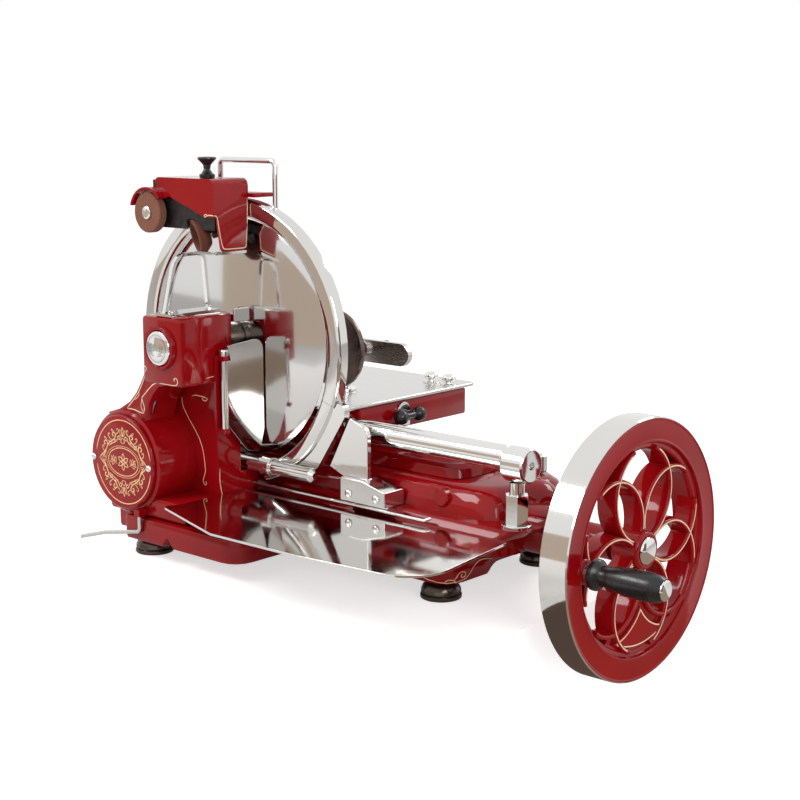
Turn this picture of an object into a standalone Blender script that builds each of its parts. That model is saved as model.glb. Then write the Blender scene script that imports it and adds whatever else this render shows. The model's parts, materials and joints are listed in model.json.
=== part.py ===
# Hand cranked flywheel meat slicer
#
# Metres, +Z up. The point (0, 0, 0) lies on the feet's rest plane, straight below
# the middle of the blade. +X runs along the flywheel's axle to the flywheel, +Y runs
# away from the person who turns the crank, and the blade turns in the plane Y = 0.

import math

import bmesh
import bpy
from mathutils import Matrix, Vector

# Driving sizes

BLADE_DIAMETER = 0.265
BLADE_THICKNESS = 0.0050
BLADE_BEVEL = 0.0105
BLADE_EDGE = 0.0006
BLADE_AXIS_Z = 0.240

FLYWHEEL_DIAMETER = 0.262
FLYWHEEL_WIDTH = 0.031
FLYWHEEL_FACE_X = 0.490
SHAFT_Y = 0.075
SHAFT_Z = 0.0695
CRANK_RADIUS = 0.098

TUBE_DIAMETER = 0.026
TUBE_Y = 0.027
TUBE_Z = 0.150
TUBE_LEFT_X = -0.140
PILLAR_X = 0.370

FOOT_HEIGHT = 0.020
DECK_Z = 0.082
PLINTH_TOP_Z = 0.048
PLINTH_LEFT_X = -0.112
PLINTH_RIGHT_X = 0.326
PLINTH_BACK_Y = 0.196
FRONT_Y = -0.113

GEAR_CASE_TOP_Z = 0.112
GEAR_LID_TOP_Z = 0.127

TABLE_TOP_Z = 0.175
TABLE_WIDTH = 0.220
TABLE_DEPTH = 0.232
TABLE_RIGHT_X = 0.150
TABLE_SHEET = 0.004

TRAY_Z = 0.075
TRAY_RIGHT_X = 0.382
TRAY_FRONT_Y = -0.160

# Clearances, overruns and mesh fineness

SEAT_GAP = 0.0003
RUN_GAP = 0.0004
SLIDE_GAP = 0.0005
BLADE_GAP = 0.0010
OVERRUN = 0.0040

FULL_TURN = 2.0 * math.pi
FINE_SIDES = 48
WHEEL_SIDES = 64
ROUND_SIDES = 22
SMALL_SIDES = 14
FOOT_SIDES = 24
BORE_SIDES = 24
CORNER_STEPS = 4

# Colours as linear red, green and blue, with roughness and metallic

FINISHES = {
    "red_enamel": ((0.300, 0.004, 0.010), 0.16, 0.0),
    "polished_steel": ((0.80, 0.79, 0.77), 0.08, 1.0),
    "brushed_steel": ((0.62, 0.61, 0.60), 0.30, 1.0),
    "chrome": ((0.86, 0.86, 0.86), 0.05, 1.0),
    "blackened_steel": ((0.045, 0.042, 0.042), 0.35, 0.8),
    "dark_bronze": ((0.075, 0.060, 0.052), 0.30, 0.9),
    "gear_steel": ((0.35, 0.34, 0.33), 0.35, 1.0),
    "black_resin": ((0.012, 0.012, 0.013), 0.28, 0.0),
    "black_rubber": ((0.010, 0.010, 0.010), 0.75, 0.0),
    "brown_stone": ((0.150, 0.045, 0.026), 0.85, 0.0),
    "dark_stone": ((0.095, 0.022, 0.014), 0.80, 0.0),
    "white_enamel": ((0.78, 0.77, 0.74), 0.25, 0.0),
    "grey_steel": ((0.45, 0.42, 0.38), 0.40, 0.7),
}

AXIS_TURNS = {
    "X": Matrix.Rotation(math.radians(90.0), 4, "Y"),
    "Y": Matrix.Rotation(math.radians(-90.0), 4, "X"),
    "Z": Matrix.Identity(4),
}


def clear_scene():
    for found in list(bpy.data.objects):
        bpy.data.objects.remove(found, do_unlink=True)


def finish(name):
    made = bpy.data.materials.get(name)
    if made is None:
        colour, roughness, metallic = FINISHES[name]
        made = bpy.data.materials.new(name)
        made.use_nodes = True
        shader = made.node_tree.nodes["Principled BSDF"]
        shader.inputs["Base Color"].default_value = (*colour, 1.0)
        shader.inputs["Roughness"].default_value = roughness
        shader.inputs["Metallic"].default_value = metallic
        made.diffuse_color = (*colour, 1.0)
    return made


def axis_empty(name, place):
    """An empty on a joint's axis. The pieces that move on the joint are its children."""
    empty = bpy.data.objects.new(name, None)
    empty.location = place
    bpy.context.collection.objects.link(empty)
    return empty


def to_object(name, work, look=None, carrier=None, smooth=35.0):
    """Makes an object from a bmesh in world places, with its origin on its carrier's axis."""
    bmesh.ops.recalc_face_normals(work, faces=work.faces)
    origin = Vector(carrier.location) if carrier else Vector()
    bmesh.ops.translate(work, verts=work.verts, vec=-origin)
    mesh = bpy.data.meshes.new(name)
    work.to_mesh(mesh)
    work.free()
    mesh.shade_smooth()
    mesh.set_sharp_from_angle(angle=math.radians(smooth))
    made = bpy.data.objects.new(name, mesh)
    bpy.context.collection.objects.link(made)
    if carrier:
        made.parent = carrier
    if look:
        mesh.materials.append(finish(look))
    return made


def helper(name, work):
    """A cutter, or a shape that another object takes in."""
    made = to_object(name, work)
    made.hide_render = True
    made.display_type = "WIRE"
    return made


def combine(target, others, operation):
    """One exact Boolean step with one helper, or with several gathered in a collection."""
    step = target.modifiers.new(operation.lower() + "_" + others[0].name, "BOOLEAN")
    step.operation = operation
    step.solver = "EXACT"
    if len(others) == 1:
        step.object = others[0]
        return
    gathered = bpy.data.collections.new(target.name + "_" + operation.lower())
    bpy.context.scene.collection.children.link(gathered)
    for other in others:
        gathered.objects.link(other)
    step.operand_type = "COLLECTION"
    step.collection = gathered


def cut(target, *cutters):
    combine(target, cutters, "DIFFERENCE")


def unite(target, *shapes):
    combine(target, shapes, "UNION")


def soften(target, width, steps=2, angle=40.0):
    step = target.modifiers.new("edges", "BEVEL")
    step.width = width
    step.segments = steps
    step.limit_method = "ANGLE"
    step.angle_limit = math.radians(angle)
    step.use_clamp_overlap = True
    return step


def rounded(corners, steps=CORNER_STEPS):
    """An outline from corners (u, v, radius), each rounded by an arc of its own radius."""
    outline = []
    count = len(corners)
    for index, (u, v, radius) in enumerate(corners):
        here = Vector((u, v))
        before = Vector(corners[index - 1][:2]) - here
        after = Vector(corners[(index + 1) % count][:2]) - here
        if radius <= 0.0:
            outline.append((u, v))
            continue
        half = before.angle(after) / 2.0
        reach = radius / math.tan(half)
        reach = min(reach, before.length / 2.0, after.length / 2.0)
        fitted = reach * math.tan(half)
        start = here + before.normalized() * reach
        end = here + after.normalized() * reach
        middle = here + (before.normalized() + after.normalized()).normalized() * (
            fitted / math.sin(half)
        )
        from_angle = math.atan2(start.y - middle.y, start.x - middle.x)
        turn = math.atan2(end.y - middle.y, end.x - middle.x) - from_angle
        turn = (turn + math.pi) % FULL_TURN - math.pi
        for step in range(steps + 1):
            angle = from_angle + turn * step / steps
            outline.append(
                (middle.x + fitted * math.cos(angle), middle.y + fitted * math.sin(angle))
            )
    return outline


def arc(middle, radius, from_degrees, to_degrees, steps):
    """Points along an arc, as (u, v)."""
    points = []
    for step in range(steps + 1):
        angle = math.radians(from_degrees + (to_degrees - from_degrees) * step / steps)
        points.append(
            (middle[0] + radius * math.cos(angle), middle[1] + radius * math.sin(angle))
        )
    return points


def in_plane(u, v, across, axis):
    """A world point from a drawing: (Y, Z) on axis X, (X, Z) on axis Y, (X, Y) on axis Z."""
    if axis == "X":
        return Vector((across, u, v))
    if axis == "Y":
        return Vector((u, across, v))
    return Vector((u, v, across))


def prism(outline, start, end, axis):
    """An outline drawn square to an axis and extruded along it."""
    work = bmesh.new()
    near = [work.verts.new(in_plane(u, v, start, axis)) for u, v in outline]
    far = [work.verts.new(in_plane(u, v, end, axis)) for u, v in outline]
    skin(work, [near, far])
    return work


def skin(work, rings, closed_ends=True, joined=False):
    """Faces between rings of equal length, with flat caps or with the last joined to the first."""
    pairs = list(zip(rings, rings[1:]))
    if joined:
        pairs.append((rings[-1], rings[0]))
    for first, second in pairs:
        count = len(first)
        for index in range(count):
            after = (index + 1) % count
            work.faces.new((first[index], first[after], second[after], second[index]))
    if closed_ends and not joined:
        work.faces.new(list(reversed(rings[0])))
        work.faces.new(rings[-1])


def loft(sections):
    """A skin over sections of equal length, each a list of world points."""
    work = bmesh.new()
    rings = [[work.verts.new(point) for point in section] for section in sections]
    skin(work, rings)
    return work


def turned(profile, axis, centre, sides=ROUND_SIDES, ring=False):
    """A profile of (radius, height) turned about an axis. A ring profile closes on itself."""
    work = bmesh.new()
    placed = Matrix.Translation(centre) @ AXIS_TURNS[axis]
    rings = []
    for radius, height in profile:
        if radius <= 0.0:
            rings.append([work.verts.new(placed @ Vector((0.0, 0.0, height)))])
            continue
        rings.append(
            [
                work.verts.new(
                    placed
                    @ Vector(
                        (
                            radius * math.cos(FULL_TURN * side / sides),
                            radius * math.sin(FULL_TURN * side / sides),
                            height,
                        )
                    )
                )
                for side in range(sides)
            ]
        )
    pairs = list(zip(rings, rings[1:]))
    if ring:
        pairs.append((rings[-1], rings[0]))
    for first, second in pairs:
        for side in range(sides):
            after = (side + 1) % sides
            if len(first) == 1 and len(second) == 1:
                continue
            if len(first) == 1:
                work.faces.new((first[0], second[after], second[side]))
            elif len(second) == 1:
                work.faces.new((first[side], first[after], second[0]))
            else:
                work.faces.new(
                    (first[side], first[after], second[after], second[side])
                )
    return work


def rod(radius, start, end, axis, centre, sides=ROUND_SIDES, rim=0.0):
    """A round bar along an axis, from start to end, with a small rim chamfer."""
    profile = [(0.0, start), (radius - rim, start)]
    if rim > 0.0:
        profile += [(radius, start + rim), (radius, end - rim)]
    else:
        profile += [(radius, end)]
    profile += [(radius - rim, end), (0.0, end)] if rim > 0.0 else [(0.0, end)]
    return turned(profile, axis, centre, sides)


def sleeve(outer, inner, start, end, axis, centre, sides=ROUND_SIDES):
    """A plain tube wall along an axis."""
    profile = [(inner, start), (outer, start), (outer, end), (inner, end)]
    return turned(profile, axis, centre, sides, ring=True)


def box(low, high):
    work = bmesh.new()
    bmesh.ops.create_cube(work, size=1.0)
    middle = (Vector(low) + Vector(high)) / 2.0
    span = Vector(high) - Vector(low)
    for vert in work.verts:
        vert.co = middle + Vector(a * b for a, b in zip(vert.co, span))
    return work


def swept(path, radius, sides=SMALL_SIDES, section=None):
    """A round bar, or a given section, along a path of world points, square at both ends."""
    if section is None:
        section = [
            (radius * math.cos(FULL_TURN * s / sides), radius * math.sin(FULL_TURN * s / sides))
            for s in range(sides)
        ]
    work = bmesh.new()
    points = [Vector(point) for point in path]
    along = [
        (points[min(i + 1, len(points) - 1)] - points[max(i - 1, 0)]).normalized()
        for i in range(len(points))
    ]
    side = along[0].orthogonal().normalized()
    rings = []
    for point, direction in zip(points, along):
        side = (side - direction * side.dot(direction)).normalized()
        other = direction.cross(side)
        rings.append([work.verts.new(point + side * u + other * v) for u, v in section])
    skin(work, rings)
    return work


def bent(corners, radius, steps=CORNER_STEPS):
    """A path of world points with each inner corner rounded in its own plane."""
    points = [Vector(corner) for corner in corners]
    path = [points[0]]
    for before, here, after in zip(points, points[1:], points[2:]):
        back = before - here
        forth = after - here
        half = back.angle(forth) / 2.0
        reach = min(radius / math.tan(half), back.length / 2.0, forth.length / 2.0)
        start = here + back.normalized() * reach
        end = here + forth.normalized() * reach
        fitted = reach * math.tan(half)
        middle = here + (back.normalized() + forth.normalized()).normalized() * (
            fitted / math.sin(half)
        )
        first = start - middle
        last = end - middle
        sweep = first.angle(last)
        for step in range(steps + 1):
            part = step / steps
            path.append(
                middle
                + (first * math.sin((1.0 - part) * sweep) + last * math.sin(part * sweep))
                / math.sin(sweep)
            )
    path.append(points[-1])
    return path


clear_scene()

BLADE_CENTRE = (0.0, 0.0, BLADE_AXIS_Z)
BLADE_RADIUS = BLADE_DIAMETER / 2.0
WHEEL_RADIUS = FLYWHEEL_DIAMETER / 2.0
TUBE_RADIUS = TUBE_DIAMETER / 2.0

# Axes of the moving pieces

wheel_axis = axis_empty("flywheel_axis", (FLYWHEEL_FACE_X, SHAFT_Y, SHAFT_Z))
grip_axis = axis_empty("crank_grip_axis", (FLYWHEEL_FACE_X, SHAFT_Y - CRANK_RADIUS, SHAFT_Z))
blade_axis = axis_empty("blade_axis", BLADE_CENTRE)

# Base casting

BASE = {
    "corner": 0.026,
    "edge": 0.0045,
    "lobe_front_y": -0.118,
    "lobe_right_x": 0.116,
    "step_y": -0.090,
    "step_x": -0.066,
    "waist_y": -0.026,
    "nose_x": 0.392,
    "nose_half": 0.030,
    "nose_corner": 0.024,
    "flange_front_y": 0.006,
    "hull_start_x": 0.062,
    "arch_height": 0.012,
    "arch_front_y": 0.034,
    "arch_back_y": 0.140,
    "leg_rise": 0.010,
}

plinth_corners = [
    (PLINTH_LEFT_X, PLINTH_BACK_Y, BASE["corner"]),
    (PLINTH_LEFT_X, BASE["step_y"], BASE["edge"]),
    (BASE["step_x"], BASE["step_y"], BASE["edge"]),
    (BASE["step_x"], BASE["lobe_front_y"], BASE["edge"]),
    (BASE["lobe_right_x"], BASE["lobe_front_y"], BASE["corner"]),
    (BASE["lobe_right_x"], BASE["waist_y"], BASE["corner"]),
    (PLINTH_RIGHT_X, BASE["waist_y"], BASE["corner"]),
    (PLINTH_RIGHT_X, PLINTH_BACK_Y, BASE["corner"]),
]
plinth_outline = rounded(plinth_corners)

base = to_object(
    "base_casting", prism(plinth_outline, FOOT_HEIGHT, PLINTH_TOP_Z, "Z"), "red_enamel"
)
soften(base, BASE["edge"])


def hull_section(height, share):
    """The flank's outline at a height, from the plinth's (share 0) to the deck's (share 1)."""
    right = PLINTH_RIGHT_X + (BASE["nose_x"] - PLINTH_RIGHT_X) * share
    front = BASE["waist_y"] + (BASE["flange_front_y"] - BASE["waist_y"]) * share
    back = PLINTH_BACK_Y - (BASE["flange_front_y"] - BASE["waist_y"]) * share
    nose_back = SHAFT_Y + BASE["nose_half"] * 2.0
    corners = [
        (BASE["hull_start_x"], back, 0.0),
        (BASE["hull_start_x"], front, 0.0),
        (right, front, BASE["nose_corner"]),
        (right, nose_back, BASE["nose_corner"]),
        (PLINTH_RIGHT_X, back, BASE["nose_corner"]),
    ]
    return [Vector((x, y, height)) for x, y in rounded(corners)]


hull_rise_shares = (0.0, 0.18, 0.45, 0.8, 1.0)
hull_flare_shares = (0.0, 0.10, 0.36, 0.86, 1.0)
hull = helper(
    "base_hull",
    loft(
        [
            hull_section(
                PLINTH_TOP_Z - OVERRUN + (DECK_Z - PLINTH_TOP_Z + OVERRUN) * rise, flare
            )
            for rise, flare in zip(hull_rise_shares, hull_flare_shares)
        ]
    ),
)

# The gear case stands on the deck, with sloping sides and a raised lid under the guide tube

CASE = {
    "left_x": -0.100,
    "right_x": 0.352,
    "front_y": 0.020,
    "back_y": 0.158,
    "slope": 0.016,
    "corner": 0.030,
    "lid_left_x": -0.034,
    "lid_right_x": 0.286,
    "lid_front_y": 0.040,
    "lid_back_y": 0.118,
    "lid_slope": 0.006,
    "lid_corner": 0.020,
}


def case_section(height, inset):
    corners = [
        (CASE["left_x"] + inset, CASE["back_y"] - inset, CASE["corner"]),
        (CASE["left_x"] + inset, CASE["front_y"] + inset, CASE["corner"]),
        (CASE["right_x"] - inset, CASE["front_y"] + inset, CASE["corner"]),
        (CASE["right_x"] - inset, CASE["back_y"] - inset, CASE["corner"]),
    ]
    return [Vector((x, y, height)) for x, y in rounded(corners)]


case_rise_shares = (0.0, 0.35, 0.75, 0.93, 1.0)
case_inset_shares = (0.0, 0.10, 0.42, 0.78, 1.25)
case_floor = PLINTH_TOP_Z - OVERRUN
gear_case = helper(
    "base_gear_case",
    loft(
        [case_section(case_floor, 0.0)]
        + [
            case_section(
                DECK_Z + (GEAR_CASE_TOP_Z - DECK_Z) * rise, CASE["slope"] * inset
            )
            for rise, inset in zip(case_rise_shares, case_inset_shares)
        ]
    ),
)


def lid_section(height, inset):
    corners = [
        (CASE["lid_left_x"] + inset, CASE["lid_back_y"] - inset, CASE["lid_corner"]),
        (CASE["lid_left_x"] + inset, CASE["lid_front_y"] + inset, CASE["lid_corner"]),
        (CASE["lid_right_x"] - inset, CASE["lid_front_y"] + inset, CASE["lid_corner"]),
        (CASE["lid_right_x"] - inset, CASE["lid_back_y"] - inset, CASE["lid_corner"]),
    ]
    return [Vector((x, y, height)) for x, y in rounded(corners)]


lid_rise_shares = (0.0, 0.7, 1.0)
lid_inset_shares = (0.0, 0.35, 1.0)
gear_lid = to_object(
    "gear_case_lid",
    loft(
        [
            lid_section(
                GEAR_CASE_TOP_Z
                + SEAT_GAP
                + (GEAR_LID_TOP_Z - GEAR_CASE_TOP_Z - SEAT_GAP) * rise,
                CASE["lid_slope"] * inset,
            )
            for rise, inset in zip(lid_rise_shares, lid_inset_shares)
        ]
    ),
    "red_enamel",
)

# A round boss on the flank and the dome over the bevel gears

BOSS = {"x": 0.278, "z": 0.097, "radius": 0.0095, "front_y": 0.018, "rim": 0.0015}
flank_boss = helper(
    "base_flank_boss",
    rod(
        BOSS["radius"],
        BOSS["front_y"],
        CASE["lid_front_y"],
        "Y",
        (BOSS["x"], 0.0, BOSS["z"]),
        SMALL_SIDES,
        BOSS["rim"],
    ),
)
DOME = {"x": 0.345, "y": 0.092, "radius": 0.030, "height": 0.033, "turns": 6}
dome_profile = [(DOME["radius"], -OVERRUN)]
for step in range(DOME["turns"]):
    angle = math.radians(90.0) * step / DOME["turns"]
    dome_profile.append(
        (DOME["radius"] * math.cos(angle), DOME["height"] * math.sin(angle))
    )
dome_profile.append((0.0, DOME["height"]))
dome_profile.insert(0, (0.0, -OVERRUN))
gear_dome = helper(
    "base_gear_dome",
    turned(dome_profile, "Z", (DOME["x"], DOME["y"], DECK_Z), ROUND_SIDES),
)

# The mouth on the right end that takes the axle housing

MOUTH = {"radius": 0.0265, "left_x": 0.340, "right_x": 0.394}
mouth = helper(
    "base_mouth",
    rod(MOUTH["radius"], MOUTH["left_x"], MOUTH["right_x"], "X", (0.0, SHAFT_Y, SHAFT_Z)),
)
CROSS = {
    "x": -0.064,
    "z": 0.107,
    "boss_radius": 0.026,
    "tail_radius": 0.0135,
    "tail_front_y": 0.0,
    "boss_front_y": 0.0065,
    "boss_back_y": 0.114,
    "room_half_x": 0.028,
    "room_front_y": 0.050,
    "room_back_y": 0.100,
    "room_top_radius": 0.0165,
}
cross_boss = helper(
    "base_cross_boss",
    rod(
        CROSS["boss_radius"],
        CROSS["boss_front_y"],
        CROSS["boss_back_y"],
        "Y",
        (CROSS["x"], 0.0, CROSS["z"]),
        ROUND_SIDES,
        BASE["edge"] / 2.0,
    ),
)
cross_tail = helper(
    "base_cross_tail",
    rod(
        CROSS["tail_radius"],
        CROSS["tail_front_y"],
        CROSS["boss_front_y"] + OVERRUN,
        "Y",
        (CROSS["x"], 0.0, CROSS["z"]),
        ROUND_SIDES,
    ),
)
SADDLE = {"left_x": -0.098, "right_x": -0.0815, "front_y": 0.0125, "back_y": 0.0415, "top_z": 0.158}
tube_saddle = helper(
    "base_tube_saddle",
    box(
        (SADDLE["left_x"], SADDLE["front_y"], CROSS["z"]),
        (SADDLE["right_x"], SADDLE["back_y"], SADDLE["top_z"]),
    ),
)
soften(tube_saddle, BASE["edge"] / 2.0)
tube_bore = helper(
    "base_tube_bore",
    rod(
        TUBE_RADIUS + SEAT_GAP,
        SADDLE["left_x"] - OVERRUN,
        SADDLE["right_x"] + OVERRUN,
        "X",
        (0.0, TUBE_Y, TUBE_Z),
        ROUND_SIDES,
    ),
)
unite(base, hull, gear_case, flank_boss, gear_dome, mouth, cross_boss, cross_tail, tube_saddle)

# Arches between the feet, under the right end and along the front

right_arch = helper(
    "base_right_arch",
    prism(
        rounded(
            [
                (BASE["arch_front_y"], FOOT_HEIGHT - OVERRUN, 0.0),
                (BASE["arch_front_y"] + BASE["arch_height"], FOOT_HEIGHT + BASE["arch_height"], BASE["corner"]),
                (BASE["arch_back_y"] - BASE["arch_height"], FOOT_HEIGHT + BASE["arch_height"], BASE["corner"]),
                (BASE["arch_back_y"], FOOT_HEIGHT - OVERRUN, 0.0),
            ]
        ),
        CASE["lid_right_x"],
        BASE["nose_x"] + OVERRUN,
        "X",
    ),
)
ARCH = {"left_x": -0.008, "right_x": 0.020, "far_left_x": 0.150, "far_right_x": 0.256, "reach_y": 0.042}
front_arches = []
for name, left, right in (
    ("base_front_arch_left", ARCH["left_x"], ARCH["right_x"]),
    ("base_front_arch_right", ARCH["far_left_x"], ARCH["far_right_x"]),
):
    front_arches.append(
        helper(
            name,
            prism(
                rounded(
                    [
                        (left, FOOT_HEIGHT - OVERRUN, 0.0),
                        (left + BASE["arch_height"], FOOT_HEIGHT + BASE["arch_height"], BASE["corner"]),
                        (right - BASE["arch_height"], FOOT_HEIGHT + BASE["arch_height"], BASE["corner"]),
                        (right, FOOT_HEIGHT - OVERRUN, 0.0),
                    ]
                ),
                BASE["lobe_front_y"] - OVERRUN,
                ARCH["reach_y"],
                "Y",
            ),
        )
    )
cut(base, right_arch, *front_arches)

# The room for the skew gears, open below, and the bores for the two shafts

SHAFT = {"radius": 0.0080, "left_x": -0.088}
gear_room = helper(
    "base_gear_room",
    box(
        (CROSS["x"] - CROSS["room_half_x"], CROSS["room_front_y"], FOOT_HEIGHT - OVERRUN),
        (CROSS["x"] + CROSS["room_half_x"], CROSS["room_back_y"], CROSS["z"]),
    ),
)
gear_room_top = helper(
    "base_gear_room_top",
    rod(
        CROSS["room_top_radius"],
        CROSS["room_front_y"] + SEAT_GAP,
        CROSS["room_back_y"] - SEAT_GAP,
        "Y",
        (CROSS["x"], 0.0, CROSS["z"]),
        SMALL_SIDES,
    ),
)
shaft_bore = helper(
    "base_shaft_bore",
    rod(
        SHAFT["radius"] + RUN_GAP,
        CROSS["x"],
        BASE["nose_x"] + OVERRUN * 2.0,
        "X",
        (0.0, SHAFT_Y, SHAFT_Z),
        SMALL_SIDES,
    ),
)
cross_bore = helper(
    "base_cross_bore",
    rod(
        SHAFT["radius"] + RUN_GAP,
        CROSS["tail_front_y"] - OVERRUN,
        CROSS["room_front_y"] + OVERRUN,
        "Y",
        (CROSS["x"], 0.0, CROSS["z"]),
        SMALL_SIDES,
    ),
)
cut(base, gear_room, gear_room_top, shaft_bore, cross_bore, tube_bore)

# Feet, each a bright dome with a thin tread

FOOT = {
    "pad_radius": 0.0215,
    "pad_height": 0.0048,
    "groove": 0.0010,
    "dome_radius": 0.0208,
    "neck_radius": 0.0120,
    "left_x": -0.055,
    "left_front_y": -0.085,
    "left_back_y": 0.160,
    "right_x": 0.296,
    "right_front_y": -0.001,
    "right_back_y": 0.166,
}
FOOT_PLACES = {
    "front_left": (FOOT["left_x"], FOOT["left_front_y"]),
    "front_right": (FOOT["right_x"], FOOT["right_front_y"]),
    "back_left": (FOOT["left_x"], FOOT["left_back_y"]),
    "back_right": (FOOT["right_x"], FOOT["right_back_y"]),
}
foot_reach_shares = (1.0, 0.96, 0.74, 0.36, 0.0)
foot_rise_shares = (0.10, 0.34, 0.62, 0.84, 1.0)
foot_top = FOOT_HEIGHT - SEAT_GAP
foot_profile = [
    (0.0, 0.0),
    (FOOT["pad_radius"] - FOOT["groove"], 0.0),
    (FOOT["pad_radius"], FOOT["groove"]),
    (FOOT["pad_radius"], FOOT["pad_height"] - FOOT["groove"] / 2.0),
    (FOOT["dome_radius"] - FOOT["groove"], FOOT["pad_height"]),
]
for reach, rise in zip(foot_reach_shares, foot_rise_shares):
    foot_profile.append(
        (
            FOOT["neck_radius"] + (FOOT["dome_radius"] - FOOT["neck_radius"]) * reach,
            FOOT["pad_height"] + (foot_top - FOOT["pad_height"]) * rise,
        )
    )
foot_profile.append((0.0, foot_top))
for place, (foot_x, foot_y) in FOOT_PLACES.items():
    to_object(
        "foot_" + place,
        turned(foot_profile, "Z", (foot_x, foot_y, 0.0), FOOT_SIDES),
        "dark_bronze",
    )

# Column casting, with the blade's head at the top and the drive drum at the lower left

COLUMN = {
    "left_x": -0.033,
    "right_x": 0.031,
    "back_y": -0.030,
    "top_z": 0.273,
    "head_z": 0.199,
    "edge": 0.0045,
    "chamfer_x": 0.010,
    "chamfer_y": 0.030,
    "leg_left_x": -0.046,
    "leg_front_y": -0.064,
    "pedestal_top_z": 0.072,
    "pedestal_left_x": -0.098,
    "step_back_y": -0.0047,
    "step_top_z": 0.0957,
    "boss_radius": 0.0080,
    "boss_x": -0.0150,
    "boss_z": 0.2120,
    "boss_back_y": -0.0143,
}
DRUM = {
    "x": CROSS["x"],
    "z": CROSS["z"],
    "radius": 0.0575,
    "front_y": -0.1165,
    "tail_radius": CROSS["tail_radius"],
}

head = to_object(
    "column_casting",
    prism(
        [
            (COLUMN["left_x"], FRONT_Y),
            (COLUMN["right_x"], FRONT_Y),
            (COLUMN["right_x"], COLUMN["back_y"] - COLUMN["chamfer_y"]),
            (COLUMN["right_x"] - COLUMN["chamfer_x"], COLUMN["back_y"]),
            (COLUMN["left_x"], COLUMN["back_y"]),
        ],
        COLUMN["head_z"],
        COLUMN["top_z"],
        "Z",
    ),
    "red_enamel",
)
soften(head, COLUMN["edge"])

# The neck's outline as shares of the way from the drum's middle to the head's corners
neck_right_shares = (
    (1.00, 1.045),
    (0.74, 1.005),
    (0.56, 0.960),
    (0.47, 0.865),
    (0.39, 0.745),
    (0.33, 0.600),
    (0.29, 0.430),
)
neck_left_shares = (
    (-0.40, 0.540),
    (-0.16, 0.620),
    (0.04, 0.735),
    (0.16, 0.860),
    (0.24, 0.975),
    (0.30, 1.080),
    (0.33, 1.160),
)
neck_width = COLUMN["right_x"] - DRUM["x"]
neck_height = COLUMN["head_z"] - DRUM["z"]
neck_outline = [
    (DRUM["x"] + neck_width * u, DRUM["z"] + neck_height * v)
    for u, v in neck_right_shares + neck_left_shares
]
neck = helper("column_neck", prism(neck_outline, FRONT_Y + COLUMN["edge"] / 2.0, COLUMN["leg_front_y"] - OVERRUN, "Y"))
soften(neck, COLUMN["edge"] / 2.0)
drum = helper(
    "column_drum",
    rod(
        DRUM["radius"],
        DRUM["front_y"],
        COLUMN["leg_front_y"] + OVERRUN,
        "Y",
        (DRUM["x"], 0.0, DRUM["z"]),
        FINE_SIDES,
        COLUMN["edge"] / 2.0,
    ),
)
column_foot_z = PLINTH_TOP_Z + SEAT_GAP
leg = helper(
    "column_leg",
    prism(
        [
            (COLUMN["leg_front_y"], column_foot_z),
            (COLUMN["step_back_y"], column_foot_z),
            (COLUMN["step_back_y"], COLUMN["step_top_z"]),
            (COLUMN["back_y"] - SEAT_GAP, COLUMN["step_top_z"]),
            (COLUMN["back_y"] - SEAT_GAP, COLUMN["head_z"] + OVERRUN),
            (COLUMN["leg_front_y"], COLUMN["head_z"] + OVERRUN),
        ],
        COLUMN["leg_left_x"],
        COLUMN["right_x"] - SEAT_GAP,
        "X",
    ),
)
pedestal = helper(
    "column_pedestal",
    box(
        (COLUMN["pedestal_left_x"], FRONT_Y + SEAT_GAP, column_foot_z + SEAT_GAP),
        (COLUMN["right_x"] - SEAT_GAP * 2.0, COLUMN["back_y"] - SEAT_GAP * 2.0, COLUMN["pedestal_top_z"]),
    ),
)
soften(pedestal, COLUMN["edge"])
drum_tail = helper(
    "column_drum_tail",
    rod(
        DRUM["tail_radius"],
        COLUMN["leg_front_y"] - OVERRUN,
        CROSS["tail_front_y"] - SEAT_GAP,
        "Y",
        (DRUM["x"], 0.0, DRUM["z"]),
        ROUND_SIDES,
    ),
)
guard_boss = helper(
    "column_guard_boss",
    rod(
        COLUMN["boss_radius"],
        COLUMN["back_y"] - OVERRUN,
        COLUMN["boss_back_y"],
        "Y",
        (COLUMN["boss_x"], 0.0, COLUMN["boss_z"]),
        SMALL_SIDES,
    ),
)
LEVER = {
    "radius": 0.00225,
    "y": -0.1210,
    "x": -0.0360,
    "top_z": 0.0567,
    "low_z": 0.0330,
    "bend_x": -0.0980,
    "bend_z": 0.0210,
    "end_x": -0.1410,
    "end_z": 0.0085,
    "bend_radius": 0.0060,
    "lug_left_x": -0.0400,
    "lug_right_x": -0.0310,
    "lug_front_y": -0.1255,
    "lug_low_z": 0.0508,
    "lug_top_z": 0.0583,
}
lever_lug = helper(
    "column_lever_lug",
    box(
        (LEVER["lug_left_x"], LEVER["lug_front_y"], LEVER["lug_low_z"]),
        (LEVER["lug_right_x"], FRONT_Y + OVERRUN * 2.2, LEVER["lug_top_z"]),
    ),
)
lever_bore = helper(
    "column_lever_bore",
    rod(
        LEVER["radius"] + RUN_GAP,
        LEVER["lug_low_z"] - OVERRUN,
        LEVER["top_z"] + SEAT_GAP,
        "Z",
        (LEVER["x"], LEVER["y"], 0.0),
        SMALL_SIDES,
    ),
)
unite(head, neck, drum, leg, pedestal, drum_tail, guard_boss, lever_lug)

# Drive inside the column: the lower shaft turns an inclined shaft in the neck, which
# turns the blade's shaft. Each pair of mitre gears has its cones' tip where the axes cross.

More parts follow.
